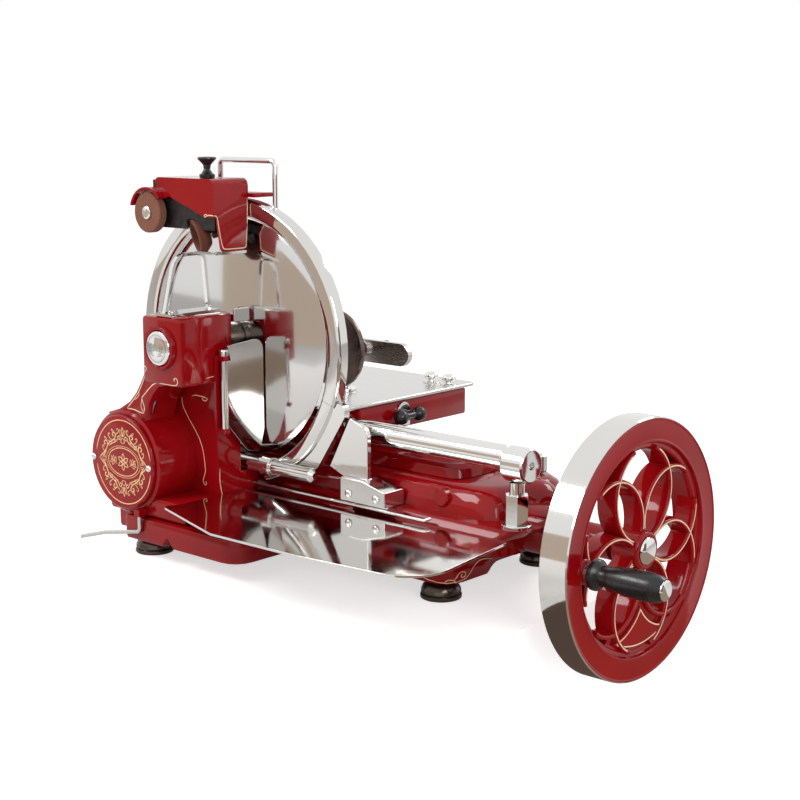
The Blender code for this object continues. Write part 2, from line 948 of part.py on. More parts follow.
DRIVE = {
    "cross_y": -0.101,
    "cone_near": 0.0060,
    "cone_far": 0.0100,
    "rod_radius": 0.0040,
    "chamber_radius": 0.0155,
    "chamber_back_y": -0.089,
    "cross_gear_radius": 0.0132,
    "skew_half_width": 0.0150,
}
rod_axis = Vector((DRUM["x"], DRIVE["cross_y"], DRUM["z"])) - Vector(
    (0.0, DRIVE["cross_y"], BLADE_AXIS_Z)
)
rod_length = rod_axis.length
rod_direction = rod_axis.normalized()
rod_top = Vector((0.0, DRIVE["cross_y"], BLADE_AXIS_Z))


def along_rod(work):
    """Turns a shape drawn on +Z at the origin onto the inclined shaft, from its top downwards."""
    lean = Vector((0.0, 0.0, 1.0)).rotation_difference(rod_direction)
    placed = Matrix.Translation(rod_top) @ lean.to_matrix().to_4x4()
    bmesh.ops.transform(work, matrix=placed, verts=work.verts)
    return work


def stepped(wide, wide_start, wide_end, narrow, narrow_end):
    """The profile of a wide bore that goes on as a narrow one."""
    return [
        (0.0, wide_start),
        (wide, wide_start),
        (wide, wide_end),
        (narrow, wide_end),
        (narrow, narrow_end),
        (0.0, narrow_end),
    ]


blade_room = helper(
    "column_blade_room",
    turned(
        stepped(
            DRIVE["chamber_radius"],
            FRONT_Y - OVERRUN,
            DRIVE["chamber_back_y"],
            SHAFT["radius"] + RUN_GAP,
            COLUMN["back_y"] + OVERRUN,
        ),
        "Y",
        BLADE_CENTRE,
        ROUND_SIDES,
    ),
)
lower_room = helper(
    "column_lower_room",
    turned(
        stepped(
            DRIVE["chamber_radius"],
            DRUM["front_y"] - OVERRUN,
            DRIVE["chamber_back_y"],
            SHAFT["radius"] + RUN_GAP,
            CROSS["tail_front_y"] + OVERRUN,
        ),
        "Y",
        (DRUM["x"], 0.0, DRUM["z"]),
        ROUND_SIDES,
    ),
)
rod_bore = helper(
    "column_rod_bore",
    along_rod(
        rod(
            DRIVE["rod_radius"] + RUN_GAP,
            DRIVE["cone_near"],
            rod_length - DRIVE["cone_near"],
            "Z",
            (0.0, 0.0, 0.0),
            BORE_SIDES,
        )
    ),
)
cut(head, rod_bore, blade_room, lower_room, lever_bore)


def mitre(shaft_radius):
    """The profile of a mitre gear's blank, from the cones' tip along its own axis."""
    near = DRIVE["cone_near"]
    far = DRIVE["cone_far"]
    return [
        (0.0, near),
        (near - RUN_GAP, near),
        (far - RUN_GAP, far),
        (far - RUN_GAP, far + shaft_radius / 4.0),
        (shaft_radius, far + shaft_radius / 4.0),
    ]


drive_axis = axis_empty("drive_rod_axis", rod_top)
cross_axis = axis_empty("cross_shaft_axis", (CROSS["x"], 0.0, CROSS["z"]))

rod_profile = mitre(DRIVE["rod_radius"])
rod_profile += [(u, rod_length - v) for u, v in reversed(rod_profile)]
to_object(
    "drive_rod",
    along_rod(turned(rod_profile, "Z", (0.0, 0.0, 0.0), SMALL_SIDES)),
    "gear_steel",
    drive_axis,
)

# The lower shaft, with its mitre gear in the drum and the skew gear in the base

gear_drop = CROSS["z"] - SHAFT_Z
skew_back = SHAFT_Y + DRIVE["skew_half_width"]
skew_front = SHAFT_Y - DRIVE["skew_half_width"]
cross_profile = [(u, DRIVE["cross_y"] + v) for u, v in mitre(SHAFT["radius"])]
cross_profile += [
    (SHAFT["radius"], skew_front),
    (DRIVE["cross_gear_radius"], skew_front),
    (DRIVE["cross_gear_radius"], skew_back),
    (0.0, skew_back),
]
to_object(
    "cross_shaft",
    turned(cross_profile, "Y", (CROSS["x"], 0.0, CROSS["z"]), ROUND_SIDES),
    "gear_steel",
    cross_axis,
)

# Blade, dished at the back and bevelled on the side of the slices

BLADE = {
    "front_y": -0.0025,
    "hollow_radius": 0.105,
    "hollow_depth": 0.0015,
    "boss_radius": 0.034,
    "boss_depth": 0.0055,
    "hub_radius": 0.0190,
    "collar_radius": 0.0210,
    "collar_width": 0.0060,
}
blade_back = BLADE["front_y"] + BLADE_THICKNESS
blade_profile = [
    (0.0, BLADE["front_y"]),
    (BLADE_RADIUS - BLADE_BEVEL, BLADE["front_y"]),
    (BLADE_RADIUS, blade_back - BLADE_EDGE),
    (BLADE_RADIUS, blade_back),
    (BLADE["hollow_radius"], blade_back - BLADE["hollow_depth"]),
    (BLADE["boss_radius"], blade_back - BLADE["hollow_depth"]),
    (BLADE["boss_radius"] - BLADE["hollow_depth"], blade_back + BLADE["boss_depth"]),
    (0.0, blade_back + BLADE["boss_depth"]),
]
to_object("blade", turned(blade_profile, "Y", BLADE_CENTRE, WHEEL_SIDES), "polished_steel", blade_axis, 12.0)

hub_back = BLADE["front_y"] - SEAT_GAP
hub_front = COLUMN["back_y"] + RUN_GAP
shaft_profile = [(u, DRIVE["cross_y"] + v) for u, v in mitre(SHAFT["radius"])]
shaft_profile += [
    (SHAFT["radius"], hub_front),
    (BLADE["hub_radius"], hub_front),
    (BLADE["hub_radius"], hub_back - BLADE["collar_width"]),
    (BLADE["collar_radius"], hub_back - BLADE["collar_width"]),
    (BLADE["collar_radius"], hub_back),
    (0.0, hub_back),
]
to_object(
    "blade_shaft", turned(shaft_profile, "Y", BLADE_CENTRE, ROUND_SIDES), "dark_bronze", blade_axis
)

# The axle cap on the head, in its raised ring, and the cover on the drum with two screws

CAP = {
    "radius": 0.0195,
    "crown": 0.0060,
    "ring_radius": 0.0240,
    "ring_depth": 0.0050,
    "plug_radius": 0.0150,
    "plug_depth": 0.0012,
    "step": 0.0010,
}
cap_face_y = FRONT_Y - SEAT_GAP
cap_ring_profile = [
    (CAP["radius"] + SEAT_GAP, cap_face_y),
    (CAP["ring_radius"], cap_face_y),
    (CAP["ring_radius"] - CAP["step"], cap_face_y - CAP["ring_depth"]),
    (CAP["radius"] + CAP["step"], cap_face_y - CAP["ring_depth"]),
    (CAP["radius"] + SEAT_GAP, cap_face_y - CAP["ring_depth"] + CAP["step"]),
]
to_object(
    "axle_cap_ring", turned(cap_ring_profile, "Y", BLADE_CENTRE, ROUND_SIDES, ring=True), "red_enamel"
)
cap_profile = [(0.0, cap_face_y + CAP["plug_depth"])]
cap_profile += [
    (CAP["plug_radius"], cap_face_y + CAP["plug_depth"]),
    (CAP["plug_radius"], cap_face_y),
    (CAP["radius"], cap_face_y),
    (CAP["radius"], cap_face_y - CAP["step"] * 3.0),
]
cap_reach_shares = (0.94, 0.80, 0.55, 0.28, 0.0)
cap_crown_shares = (0.42, 0.62, 0.82, 0.95, 1.0)
for reach, crown in zip(cap_reach_shares, cap_crown_shares):
    cap_profile.append((CAP["radius"] * reach, cap_face_y - CAP["step"] * 3.0 - CAP["crown"] * crown))
to_object("axle_cap", turned(cap_profile, "Y", BLADE_CENTRE, ROUND_SIDES), "chrome", None, 25.0)

COVER = {"radius": 0.0530, "depth": 0.0050, "lip": 0.0020, "plug": 0.0030, "screw_radius": 0.0040, "screw_height": 0.0028}
cover_face_y = DRUM["front_y"] - SEAT_GAP
cover_profile = [
    (0.0, cover_face_y),
    (COVER["radius"], cover_face_y),
    (COVER["radius"], cover_face_y - COVER["depth"] + COVER["lip"]),
    (COVER["radius"] - COVER["lip"] / 2.0, cover_face_y - COVER["depth"] + COVER["lip"] / 3.0),
    (COVER["radius"] - COVER["lip"], cover_face_y - COVER["depth"]),
    (0.0, cover_face_y - COVER["depth"]),
]
to_object(
    "drive_cover",
    turned(cover_profile, "Y", (DRUM["x"], 0.0, DRUM["z"]), FINE_SIDES),
    "red_enamel",
)


def dome_screw(name, centre, radius, height, axis, look="chrome", sides=SMALL_SIDES):
    """A dome head that sits on a face. Its height is signed along the axis."""
    screw_reach_shares = (1.0, 0.94, 0.72, 0.40, 0.0)
    screw_rise_shares = (0.0, 0.35, 0.72, 0.93, 1.0)
    seat = SEAT_GAP if height > 0.0 else -SEAT_GAP
    profile = [(0.0, seat)]
    for reach, rise in zip(screw_reach_shares, screw_rise_shares):
        profile.append((radius * reach, seat + height * rise))
    return to_object(name, turned(profile, axis, centre, sides), look)


screw_ring = COVER["radius"] - COVER["screw_radius"] * 1.4
for side, name in ((-1.0, "left"), (1.0, "right")):
    dome_screw(
        "cover_screw_" + name,
        (DRUM["x"] + side * screw_ring, cover_face_y - COVER["depth"], DRUM["z"]),
        COVER["screw_radius"],
        -COVER["screw_height"],
        "Y",
    )

# The flywheel is one casting: ribs curve from the hub to the rim in pairs that
# cross near the rim, so each pair frames a petal. A web below balances the crank

WHEEL = {
    "rim_inner_radius": 0.0990,
    "lip_radius": 0.1060,
    "lip_depth": 0.0045,
    "rib_front_x": -0.0015,
    "panel_front_x": -0.0030,
    "web_front_x": -0.0060,
    "web_back_x": -0.0225,
    "hub_radius": 0.0195,
    "hub_front_x": 0.0030,
    "hub_back_x": -0.0300,
    "rib_start_radius": 0.0100,
    "crossing_radius": 0.0865,
    "rib_bulge": 0.0195,
    "rib_width": 0.0062,
    "panel_inset": 0.0085,
    "panel_low_radius": 0.0965,
    "rim_edge": 0.0010,
    "cap_radius": 0.0140,
    "cap_height": 0.0045,
    "boss_radius": 0.0130,
}
RIB_STEPS = 10
PETAL_TURNS = (0.0, 60.0, 120.0, 180.0, 240.0, 300.0)
FAN_TURN = 270.0
WEB_SPREAD = 33.0
PANEL_SPREAD = 34.0
rib_half_chord = (WHEEL["crossing_radius"] - WHEEL["rib_start_radius"]) / 2.0
rib_radius = (rib_half_chord ** 2 + WHEEL["rib_bulge"] ** 2) / (2.0 * WHEEL["rib_bulge"])
rib_along = (WHEEL["crossing_radius"] + WHEEL["rib_start_radius"]) / 2.0
rib_across = WHEEL["rib_bulge"] - rib_radius
rib_from = math.atan2(-rib_across, -rib_half_chord)
rib_crossing = math.atan2(-rib_across, rib_half_chord)


def on_wheel(points, turn_degrees):
    """Turns outline points (along a spoke, across it) about the hub, in world (Y, Z)."""
    turn = math.radians(turn_degrees)
    placed = []
    for along, across in points:
        placed.append(
            (
                SHAFT_Y + along * math.cos(turn) - across * math.sin(turn),
                SHAFT_Z + along * math.sin(turn) + across * math.cos(turn),
            )
        )
    return placed


def rib_angle(reach):
    """Where a rib's centre line is at this distance from the hub's middle, past the petal's tip."""
    far = math.hypot(rib_along, rib_across)
    bend = (reach ** 2 - far ** 2 - rib_radius ** 2) / (2.0 * rib_radius * far)
    return math.atan2(rib_across, rib_along) + math.acos(bend)


def rib_curve(side, radius, start, end, steps):
    """Points along one rib of a petal, as (along, across); side is 1 or -1."""
    points = []
    for step in range(steps + 1):
        turn = start + (end - start) * step / steps
        points.append((rib_along + radius * math.cos(turn), side * (rib_across + radius * math.sin(turn))))
    return points


face_x = FLYWHEEL_FACE_X
rim_profile = [
    (WHEEL["rim_inner_radius"], -FLYWHEEL_WIDTH),
    (WHEEL_RADIUS - WHEEL["rim_edge"], -FLYWHEEL_WIDTH),
    (WHEEL_RADIUS, -FLYWHEEL_WIDTH + WHEEL["rim_edge"]),
    (WHEEL_RADIUS, -WHEEL["rim_edge"]),
    (WHEEL_RADIUS - WHEEL["rim_edge"], 0.0),
    (WHEEL["lip_radius"], 0.0),
    (WHEEL["lip_radius"], -WHEEL["lip_depth"]),
    (WHEEL["rim_inner_radius"], -WHEEL["lip_depth"]),
]
wheel_centre = (face_x, SHAFT_Y, SHAFT_Z)
flywheel = to_object(
    "flywheel", turned(rim_profile, "X", wheel_centre, WHEEL_SIDES, ring=True), "red_enamel", wheel_axis
)
wheel_shapes = []
rib_end = rib_angle(WHEEL["rim_inner_radius"] + WHEEL["rib_width"] / 4.0)
for turn_degrees in PETAL_TURNS:
    for side in (1.0, -1.0):
        outer_edge = rib_curve(side, rib_radius + WHEEL["rib_width"] / 2.0, rib_from, rib_end, RIB_STEPS)
        inner_edge = rib_curve(side, rib_radius - WHEEL["rib_width"] / 2.0, rib_end, rib_from, RIB_STEPS)
        rib = prism(
            on_wheel(outer_edge + inner_edge, turn_degrees),
            face_x + WHEEL["web_back_x"],
            face_x + WHEEL["rib_front_x"],
            "X",
        )
        wheel_shapes.append(helper("flywheel_rib", rib))

web_reach = WHEEL["rim_inner_radius"] + WHEEL["rib_width"] / 4.0
web_turns = (PETAL_TURNS[4], PETAL_TURNS[5])
web_outline = on_wheel(rib_curve(1.0, rib_radius, rib_from, rib_crossing, RIB_STEPS), web_turns[0])
for step in range(7):
    turn_degrees = FAN_TURN + WEB_SPREAD * (step - 3) / 3
    web_outline += on_wheel([(web_reach, 0.0)], turn_degrees)
web_outline += on_wheel(rib_curve(-1.0, rib_radius, rib_crossing, rib_from, RIB_STEPS), web_turns[1])
web = prism(web_outline, face_x + WHEEL["web_back_x"], face_x + WHEEL["web_front_x"], "X")
wheel_shapes.append(helper("flywheel_web", web))

# A raised fan lies on the web, with sides that follow the petals

panel_outline = on_wheel([(WHEEL["hub_radius"], 0.0)], FAN_TURN)
panel_outline += [
    point
    for step in range(9)
    for point in on_wheel(
        [(WHEEL["panel_low_radius"], 0.0)], FAN_TURN + PANEL_SPREAD * (step - 4) / 4
    )
]
panel_low_x = face_x + (WHEEL["web_front_x"] + WHEEL["web_back_x"]) / 2.0
fan_panel = helper(
    "flywheel_fan", prism(panel_outline, panel_low_x, face_x + WHEEL["panel_front_x"], "X")
)
panel_cutters = []
for turn_degrees, side in ((web_turns[0], 1.0), (web_turns[1], -1.0)):
    middle = on_wheel([(rib_along, side * rib_across)], turn_degrees)[0]
    panel_cutters.append(
        helper(
            "flywheel_fan_side",
            rod(
                rib_radius + WHEEL["panel_inset"],
                WHEEL["web_back_x"],
                OVERRUN,
                "X",
                (face_x, middle[0], middle[1]),
                WHEEL_SIDES,
            ),
        )
    )
cut(fan_panel, *panel_cutters)
wheel_shapes.append(fan_panel)
wheel_shapes.append(
    helper(
        "flywheel_hub",
        rod(
            WHEEL["hub_radius"],
            WHEEL["hub_back_x"],
            WHEEL["hub_front_x"],
            "X",
            wheel_centre,
            ROUND_SIDES,
            WHEEL["rim_edge"],
        ),
    )
)
wheel_shapes.append(
    helper(
        "flywheel_crank_boss",
        rod(
            WHEEL["boss_radius"],
            WHEEL["web_back_x"],
            0.0,
            "X",
            (face_x, SHAFT_Y - CRANK_RADIUS, SHAFT_Z),
            ROUND_SIDES,
            WHEEL["rim_edge"],
        ),
    )
)
unite(flywheel, *wheel_shapes)
wheel_bore = helper(
    "flywheel_bore",
    rod(
        SHAFT["radius"] + SEAT_GAP,
        WHEEL["hub_back_x"] - OVERRUN,
        WHEEL["hub_front_x"] + OVERRUN,
        "X",
        wheel_centre,
        SMALL_SIDES,
    ),
)
cut(flywheel, wheel_bore)

# The hub has a cap

hub_cap_x = face_x + WHEEL["hub_front_x"]
cap = dome_screw(
    "flywheel_hub_cap",
    (hub_cap_x, SHAFT_Y, SHAFT_Z),
    WHEEL["cap_radius"],
    WHEEL["cap_height"],
    "X",
    "chrome",
    ROUND_SIDES,
)
cap.parent = wheel_axis
cap.location = -Vector(wheel_axis.location)

# The flywheel's shaft and its skew gear in the base

flywheel_gear_radius = gear_drop - DRIVE["cross_gear_radius"] - SLIDE_GAP
gear_left = CROSS["x"] - DRIVE["skew_half_width"]
gear_right = CROSS["x"] + DRIVE["skew_half_width"]
main_shaft_profile = [
    (0.0, gear_left),
    (flywheel_gear_radius, gear_left),
    (flywheel_gear_radius, gear_right),
    (SHAFT["radius"], gear_right),
    (SHAFT["radius"], face_x + WHEEL["hub_front_x"] - SEAT_GAP),
    (0.0, face_x + WHEEL["hub_front_x"] - SEAT_GAP),
]
to_object(
    "flywheel_shaft",
    turned(main_shaft_profile, "X", (0.0, SHAFT_Y, SHAFT_Z), ROUND_SIDES),
    "gear_steel",
    wheel_axis,
)

# The axle housing runs from the base's mouth to the flywheel's back

HOUSING = {
    "large_radius": 0.0245,
    "small_radius": 0.0165,
    "cone_start_x": 0.402,
    "cone_end_x": 0.416,
    "right_x": 0.4560,
}
housing_left = MOUTH["right_x"] + SEAT_GAP
housing_bore = SHAFT["radius"] + RUN_GAP
housing_profile = [
    (housing_bore, housing_left),
    (HOUSING["large_radius"], housing_left),
    (HOUSING["large_radius"], HOUSING["cone_start_x"]),
    (HOUSING["small_radius"], HOUSING["cone_end_x"]),
    (HOUSING["small_radius"], HOUSING["right_x"]),
    (housing_bore, HOUSING["right_x"]),
]
to_object(
    "axle_housing",
    turned(housing_profile, "X", (0.0, SHAFT_Y, SHAFT_Z), ROUND_SIDES, ring=True),
    "red_enamel",
)

# Crank: a bright pin screwed into the rim's boss, and a black grip that turns on it

GRIP = {
    "pin_radius": 0.0045,
    "flange_radius": 0.0085,
    "flange_width": 0.0070,
    "length": 0.0760,
    "collar_radius": 0.0150,
    "waist_radius": 0.0095,
    "belly_radius": 0.0138,
    "cap_radius": 0.0098,
    "cap_height": 0.0025,
}
grip_start = SEAT_GAP + GRIP["flange_width"] + RUN_GAP
grip_end = grip_start + GRIP["length"]
crank_centre = (face_x, SHAFT_Y - CRANK_RADIUS, SHAFT_Z)
to_object(
    "crank_pin",
    turned(
        [
            (0.0, SEAT_GAP),
            (GRIP["flange_radius"], SEAT_GAP),
            (GRIP["flange_radius"], SEAT_GAP + GRIP["flange_width"]),
            (GRIP["pin_radius"], SEAT_GAP + GRIP["flange_width"]),
            (GRIP["pin_radius"], grip_end),
            (GRIP["cap_radius"], grip_end + SEAT_GAP),
            (GRIP["cap_radius"], grip_end + SEAT_GAP + GRIP["cap_height"] / 2.0),
            (GRIP["cap_radius"] * 0.8, grip_end + SEAT_GAP + GRIP["cap_height"]),
            (0.0, grip_end + SEAT_GAP + GRIP["cap_height"]),
        ],
        "X",
        crank_centre,
        SMALL_SIDES,
    ),
    "chrome",
    wheel_axis,
)
grip_reach_shares = (
    (0.00, "collar_radius", 0.92),
    (0.02, "collar_radius", 1.00),
    (0.07, "collar_radius", 1.00),
    (0.10, "collar_radius", 0.88),
    (0.13, "waist_radius", 1.06),
    (0.17, "waist_radius", 1.00),
    (0.24, "waist_radius", 1.08),
    (0.36, "belly_radius", 0.88),
    (0.52, "belly_radius", 0.97),
    (0.68, "belly_radius", 1.00),
    (0.84, "belly_radius", 0.98),
    (0.94, "belly_radius", 0.90),
    (1.00, "belly_radius", 0.74),
)
grip_bore = GRIP["pin_radius"] + RUN_GAP
grip_profile = [(grip_bore, grip_start)]
for reach, size, part in grip_reach_shares:
    grip_profile.append((GRIP[size] * part, grip_start + GRIP["length"] * reach))
grip_profile.append((grip_bore, grip_end))
to_object(
    "crank_grip",
    turned(grip_profile, "X", crank_centre, ROUND_SIDES, ring=True),
    "black_resin",
    grip_axis,
)

# Lever under the drum, a bent rod that turns on its upright leg

lever_axis = axis_empty("lift_lever_axis", (LEVER["x"], LEVER["y"], LEVER["low_z"]))
lever_path = bent(
    [
        (LEVER["x"], LEVER["y"], LEVER["top_z"]),
        (LEVER["x"], LEVER["y"], LEVER["low_z"]),
        (LEVER["bend_x"], LEVER["y"], LEVER["bend_z"]),
        (LEVER["end_x"], LEVER["y"], LEVER["end_z"]),
    ],
    LEVER["bend_radius"],
)
to_object("lift_lever", swept(lever_path, LEVER["radius"], SMALL_SIDES), "brushed_steel", lever_axis)

# Ring guard round the blade, in an upper part and a lower part with a shield

RING = {
    "x": 0.004,
    "z": 0.236,
    "inner": 0.1390,
    "outer": 0.1585,
    "front_y": -0.0100,
    "back_y": 0.0040,
    "edge": 0.0030,
    "seam": -20.6,
    "seam_gap": 0.12,
    "left_end": 200.0,
    "low_end": -74.0,
    "steps": 44,
    "low_steps": 14,
    "shield_front_y": -0.0070,
    "shield_back_y": 0.0010,
    "shield_corner": 0.0070,
    "strap_front_y": -0.0140,
    "strap_back_y": -0.0070,
    "strap_low_z": 0.2065,
    "strap_top_z": 0.2180,
    "strap_left_x": -0.1400,
    "strap_right_x": -0.0050,
    "lug_left_x": 0.0440,
    "lug_right_x": 0.0560,
    "lug_back_y": 0.0150,
    "lug_low_z": 0.3690,
    "lug_top_z": 0.3790,
}


def ring_section():
    """The guard's cross section as (radius, Y), with rounded edges."""
    return rounded(
        [
            (RING["inner"], RING["front_y"] + RING["edge"], RING["edge"]),
            (RING["inner"] + RING["edge"], RING["front_y"], RING["edge"]),
            (RING["outer"] - RING["edge"], RING["front_y"], RING["edge"]),
            (RING["outer"], RING["front_y"] + RING["edge"], RING["edge"]),
            (RING["outer"], RING["back_y"], 0.0),
            (RING["inner"], RING["back_y"], 0.0),
        ],
        2,
    )


def ring_arc(from_degrees, to_degrees, steps):
    section = ring_section()
    sections = []
    for step in range(steps + 1):
        angle = math.radians(from_degrees + (to_degrees - from_degrees) * step / steps)
        sections.append(
            [
                Vector((RING["x"] + r * math.cos(angle), y, RING["z"] + r * math.sin(angle)))
                for r, y in section
            ]
        )
    return loft(sections)


upper_guard = to_object(
    "ring_guard_upper",
    ring_arc(RING["seam"] + RING["seam_gap"] / 2.0, RING["left_end"], RING["steps"]),
    "polished_steel",
)
guard_strap = helper(
    "ring_guard_strap",
    box(
        (RING["strap_left_x"], RING["strap_front_y"], RING["strap_low_z"]),
        (RING["strap_right_x"], RING["strap_back_y"], RING["strap_top_z"]),
    ),
)
GUIDE = {
    "y": 0.0100,
    "left_x": -0.0380,
    "right_x": 0.0500,
    "radius": 0.00325,
    "top_z": 0.4350,
    "low_z": 0.3400,
    "bend": 0.0060,
}
guide_lug = helper(
    "ring_guard_lug",
    box(
        (RING["lug_left_x"], RING["back_y"] - OVERRUN / 2.0, RING["lug_low_z"]),
        (RING["lug_right_x"], RING["lug_back_y"], RING["lug_top_z"]),
    ),
)
guide_bore = helper(
    "ring_guard_bore",
    rod(
        GUIDE["radius"] + SLIDE_GAP,
        RING["lug_low_z"] - OVERRUN,
        RING["lug_top_z"] + OVERRUN,
        "Z",
        (GUIDE["right_x"], GUIDE["y"], 0.0),
        SMALL_SIDES,
    ),
)
unite(upper_guard, guard_strap, guide_lug)
cut(upper_guard, guide_bore)

lower_guard = to_object(
    "ring_guard_lower",
    ring_arc(RING["low_end"], RING["seam"] - RING["seam_gap"] / 2.0, RING["low_steps"]),
    "polished_steel",
)
SHIELD = {
    "neck_x": 0.1526,
    "neck_z": 0.1782,
    "top_x": 0.1565,
    "top_z": 0.1840,
    "right_x": 0.1670,
    "right_z": 0.1700,
    "low_x": 0.1260,
    "low_z": 0.1090,
    "end_x": 0.0840,
    "end_z": 0.1040,
}
shield_outline = arc(
    (RING["x"], RING["z"]), RING["inner"] + RING["edge"], -58.0, RING["seam"] - 1.0, 12
)
shield_outline += rounded(
    [
        (SHIELD["neck_x"], SHIELD["neck_z"], 0.0),
        (SHIELD["top_x"], SHIELD["top_z"], 0.0),
        (SHIELD["right_x"], SHIELD["top_z"] - OVERRUN / 4.0, RING["shield_corner"]),
        (SHIELD["right_x"], SHIELD["right_z"], RING["shield_corner"]),
        (SHIELD["low_x"], SHIELD["low_z"], RING["shield_corner"]),
        (SHIELD["end_x"], SHIELD["end_z"], 0.0),
    ]
)
shield = helper(
    "ring_guard_shield",
    prism(shield_outline, RING["shield_front_y"], RING["shield_back_y"], "Y"),
)
unite(lower_guard, shield)

strap_face_y = RING["strap_front_y"]

# Guard bar across the front of the lower guard, with its clamp

BAR = {
    "radius": 0.0080,
    "y": -0.0183,
    "z": 0.1040,
    "left_x": -0.0220,
    "right_x": 0.1340,
    "rim": 0.0040,
    "clamp_left_x": 0.0560,
    "clamp_right_x": 0.0700,
    "clamp_outer": 0.0105,
    "clamp_back_y": -0.0103,
}
to_object(
    "guard_bar",
    rod(
        BAR["radius"],
        BAR["left_x"],
        BAR["right_x"],
        "X",
        (0.0, BAR["y"], BAR["z"]),
        ROUND_SIDES,
        BAR["rim"],
    ),
    "polished_steel",
)
bar_clamp = to_object(
    "guard_bar_clamp",
    sleeve(
        BAR["clamp_outer"],
        BAR["radius"] + SEAT_GAP,
        BAR["clamp_left_x"],
        BAR["clamp_right_x"],
        "X",
        (0.0, BAR["y"], BAR["z"]),
        ROUND_SIDES,
    ),
    "chrome",
)
clamp_trim = helper(
    "guard_bar_clamp_trim",
    box(
        (BAR["clamp_left_x"] - OVERRUN, BAR["clamp_back_y"], BAR["z"] - BAR["clamp_outer"] * 2.0),
        (BAR["clamp_right_x"] + OVERRUN, BAR["clamp_back_y"] + OVERRUN, BAR["z"] + BAR["clamp_outer"] * 2.0),
    ),
)
cut(bar_clamp, clamp_trim)

# Polished foot plate on its block, which is screwed to the deck

PLATE = {
    "front_y": -0.0030,
    "back_y": 0.0030,
    "top_left_x": 0.1705,
    "top_left_z": 0.1700,
    "top_right_x": 0.1960,
    "top_right_z": 0.1600,
    "low_left_x": 0.1410,
    "low_left_z": 0.1136,
    "corner": 0.0120,
    "block_left_x": 0.1650,
    "block_right_x": 0.2280,
    "block_front_y": -0.0120,
    "block_back_y": 0.0190,
    "block_top_z": 0.1070,
    "block_slope": 0.0080,
    "screw_radius": 0.0046,
    "screw_height": 0.0026,
}
plate_block_low = DECK_Z + SEAT_GAP
block = to_object(
    "foot_plate",
    prism(
        rounded(
            [
                (PLATE["low_left_x"], PLATE["low_left_z"], 0.0),
                (PLATE["top_left_x"], PLATE["top_left_z"], PLATE["corner"] / 6.0),
                (PLATE["top_right_x"], PLATE["top_right_z"], PLATE["corner"]),
                (PLATE["top_right_x"], PLATE["block_top_z"] - OVERRUN, 0.0),
                (PLATE["low_left_x"] + PLATE["corner"] * 2.2, PLATE["block_top_z"] - OVERRUN, 0.0),
            ]
        ),
        PLATE["front_y"],
        PLATE["back_y"],
        "Y",
    ),
    "polished_steel",
)
plate_block = helper(
    "foot_plate_block",
    prism(
        [
            (PLATE["block_left_x"], plate_block_low),
            (PLATE["block_right_x"], plate_block_low),
            (PLATE["block_right_x"], PLATE["block_top_z"] - PLATE["block_slope"]),
            (PLATE["top_right_x"], PLATE["block_top_z"]),
            (PLATE["block_left_x"], PLATE["block_top_z"]),
        ],
        PLATE["block_front_y"],
        PLATE["block_back_y"],
        "Y",
    ),
)
unite(block, plate_block)
plate_screw_z = plate_block_low + PLATE["block_slope"] * 1.1
for name, screw_x in (
    ("left", PLATE["block_left_x"] + PLATE["corner"]),
    ("right", PLATE["block_right_x"] - PLATE["corner"]),
):
    dome_screw(
        "foot_plate_screw_" + name,
        (screw_x, PLATE["block_front_y"], plate_screw_z),
        PLATE["screw_radius"],
        -PLATE["screw_height"],
        "Y",
    )

# Guide tube, its end block and the pillar under its right end

PILLAR = {
    "block_left_x": 0.3600,
    "block_right_x": 0.3880,
    "block_radius": 0.0180,
    "block_z": 0.1455,
    "block_edge": 0.0020,
    "socket_radius": 0.0042,
    "socket_depth": 0.0050,
    "washer_radius": 0.0155,
    "washer_height": 0.0024,
    "hex_radius": 0.0125,
    "hex_top_z": 0.1120,
    "round_radius": 0.0078,
    "neck_radius": 0.0062,
}
to_object(
    "guide_tube",
    rod(
        TUBE_RADIUS,
        TUBE_LEFT_X,
        PILLAR["block_left_x"] - SEAT_GAP,
        "X",
        (0.0, TUBE_Y, TUBE_Z),
        FINE_SIDES,
        PILLAR["block_edge"],
    ),
    "chrome",
)
end_block = to_object(
    "guide_end_block",
    rod(
        PILLAR["block_radius"],
        PILLAR["block_left_x"],
        PILLAR["block_right_x"],
        "X",
        (0.0, TUBE_Y, PILLAR["block_z"]),
        FINE_SIDES,
        PILLAR["block_edge"],
    ),
    "chrome",
)
hex_socket = helper(
    "guide_end_socket",
    rod(
        PILLAR["socket_radius"],
        PILLAR["block_right_x"] - PILLAR["socket_depth"],
        PILLAR["block_right_x"] + OVERRUN,
        "X",
        (0.0, TUBE_Y, PILLAR["block_z"]),
        6,
    ),
)
cut(end_block, hex_socket)
pillar_low = DECK_Z + SEAT_GAP
pillar_washer_top = pillar_low + PILLAR["washer_height"]
pillar_top = PILLAR["block_z"] - PILLAR["block_radius"] - SEAT_GAP
pillar = to_object(
    "guide_pillar",
    turned(
        [
            (0.0, pillar_low),
            (PILLAR["washer_radius"], pillar_low),
            (PILLAR["washer_radius"], pillar_washer_top - PILLAR["washer_height"] / 3.0),
            (PILLAR["washer_radius"] - PILLAR["washer_height"] / 3.0, pillar_washer_top),
            (PILLAR["neck_radius"], pillar_washer_top),
            (PILLAR["neck_radius"], PILLAR["hex_top_z"]),
            (PILLAR["round_radius"], PILLAR["hex_top_z"]),
            (PILLAR["round_radius"], pillar_top),
            (0.0, pillar_top),
        ],
        "Z",
        (PILLAR_X, TUBE_Y, 0.0),
        ROUND_SIDES,
    ),
    "chrome",
)
hex_corners = arc((PILLAR_X, TUBE_Y), PILLAR["hex_radius"], 10.0, 310.0, 5)
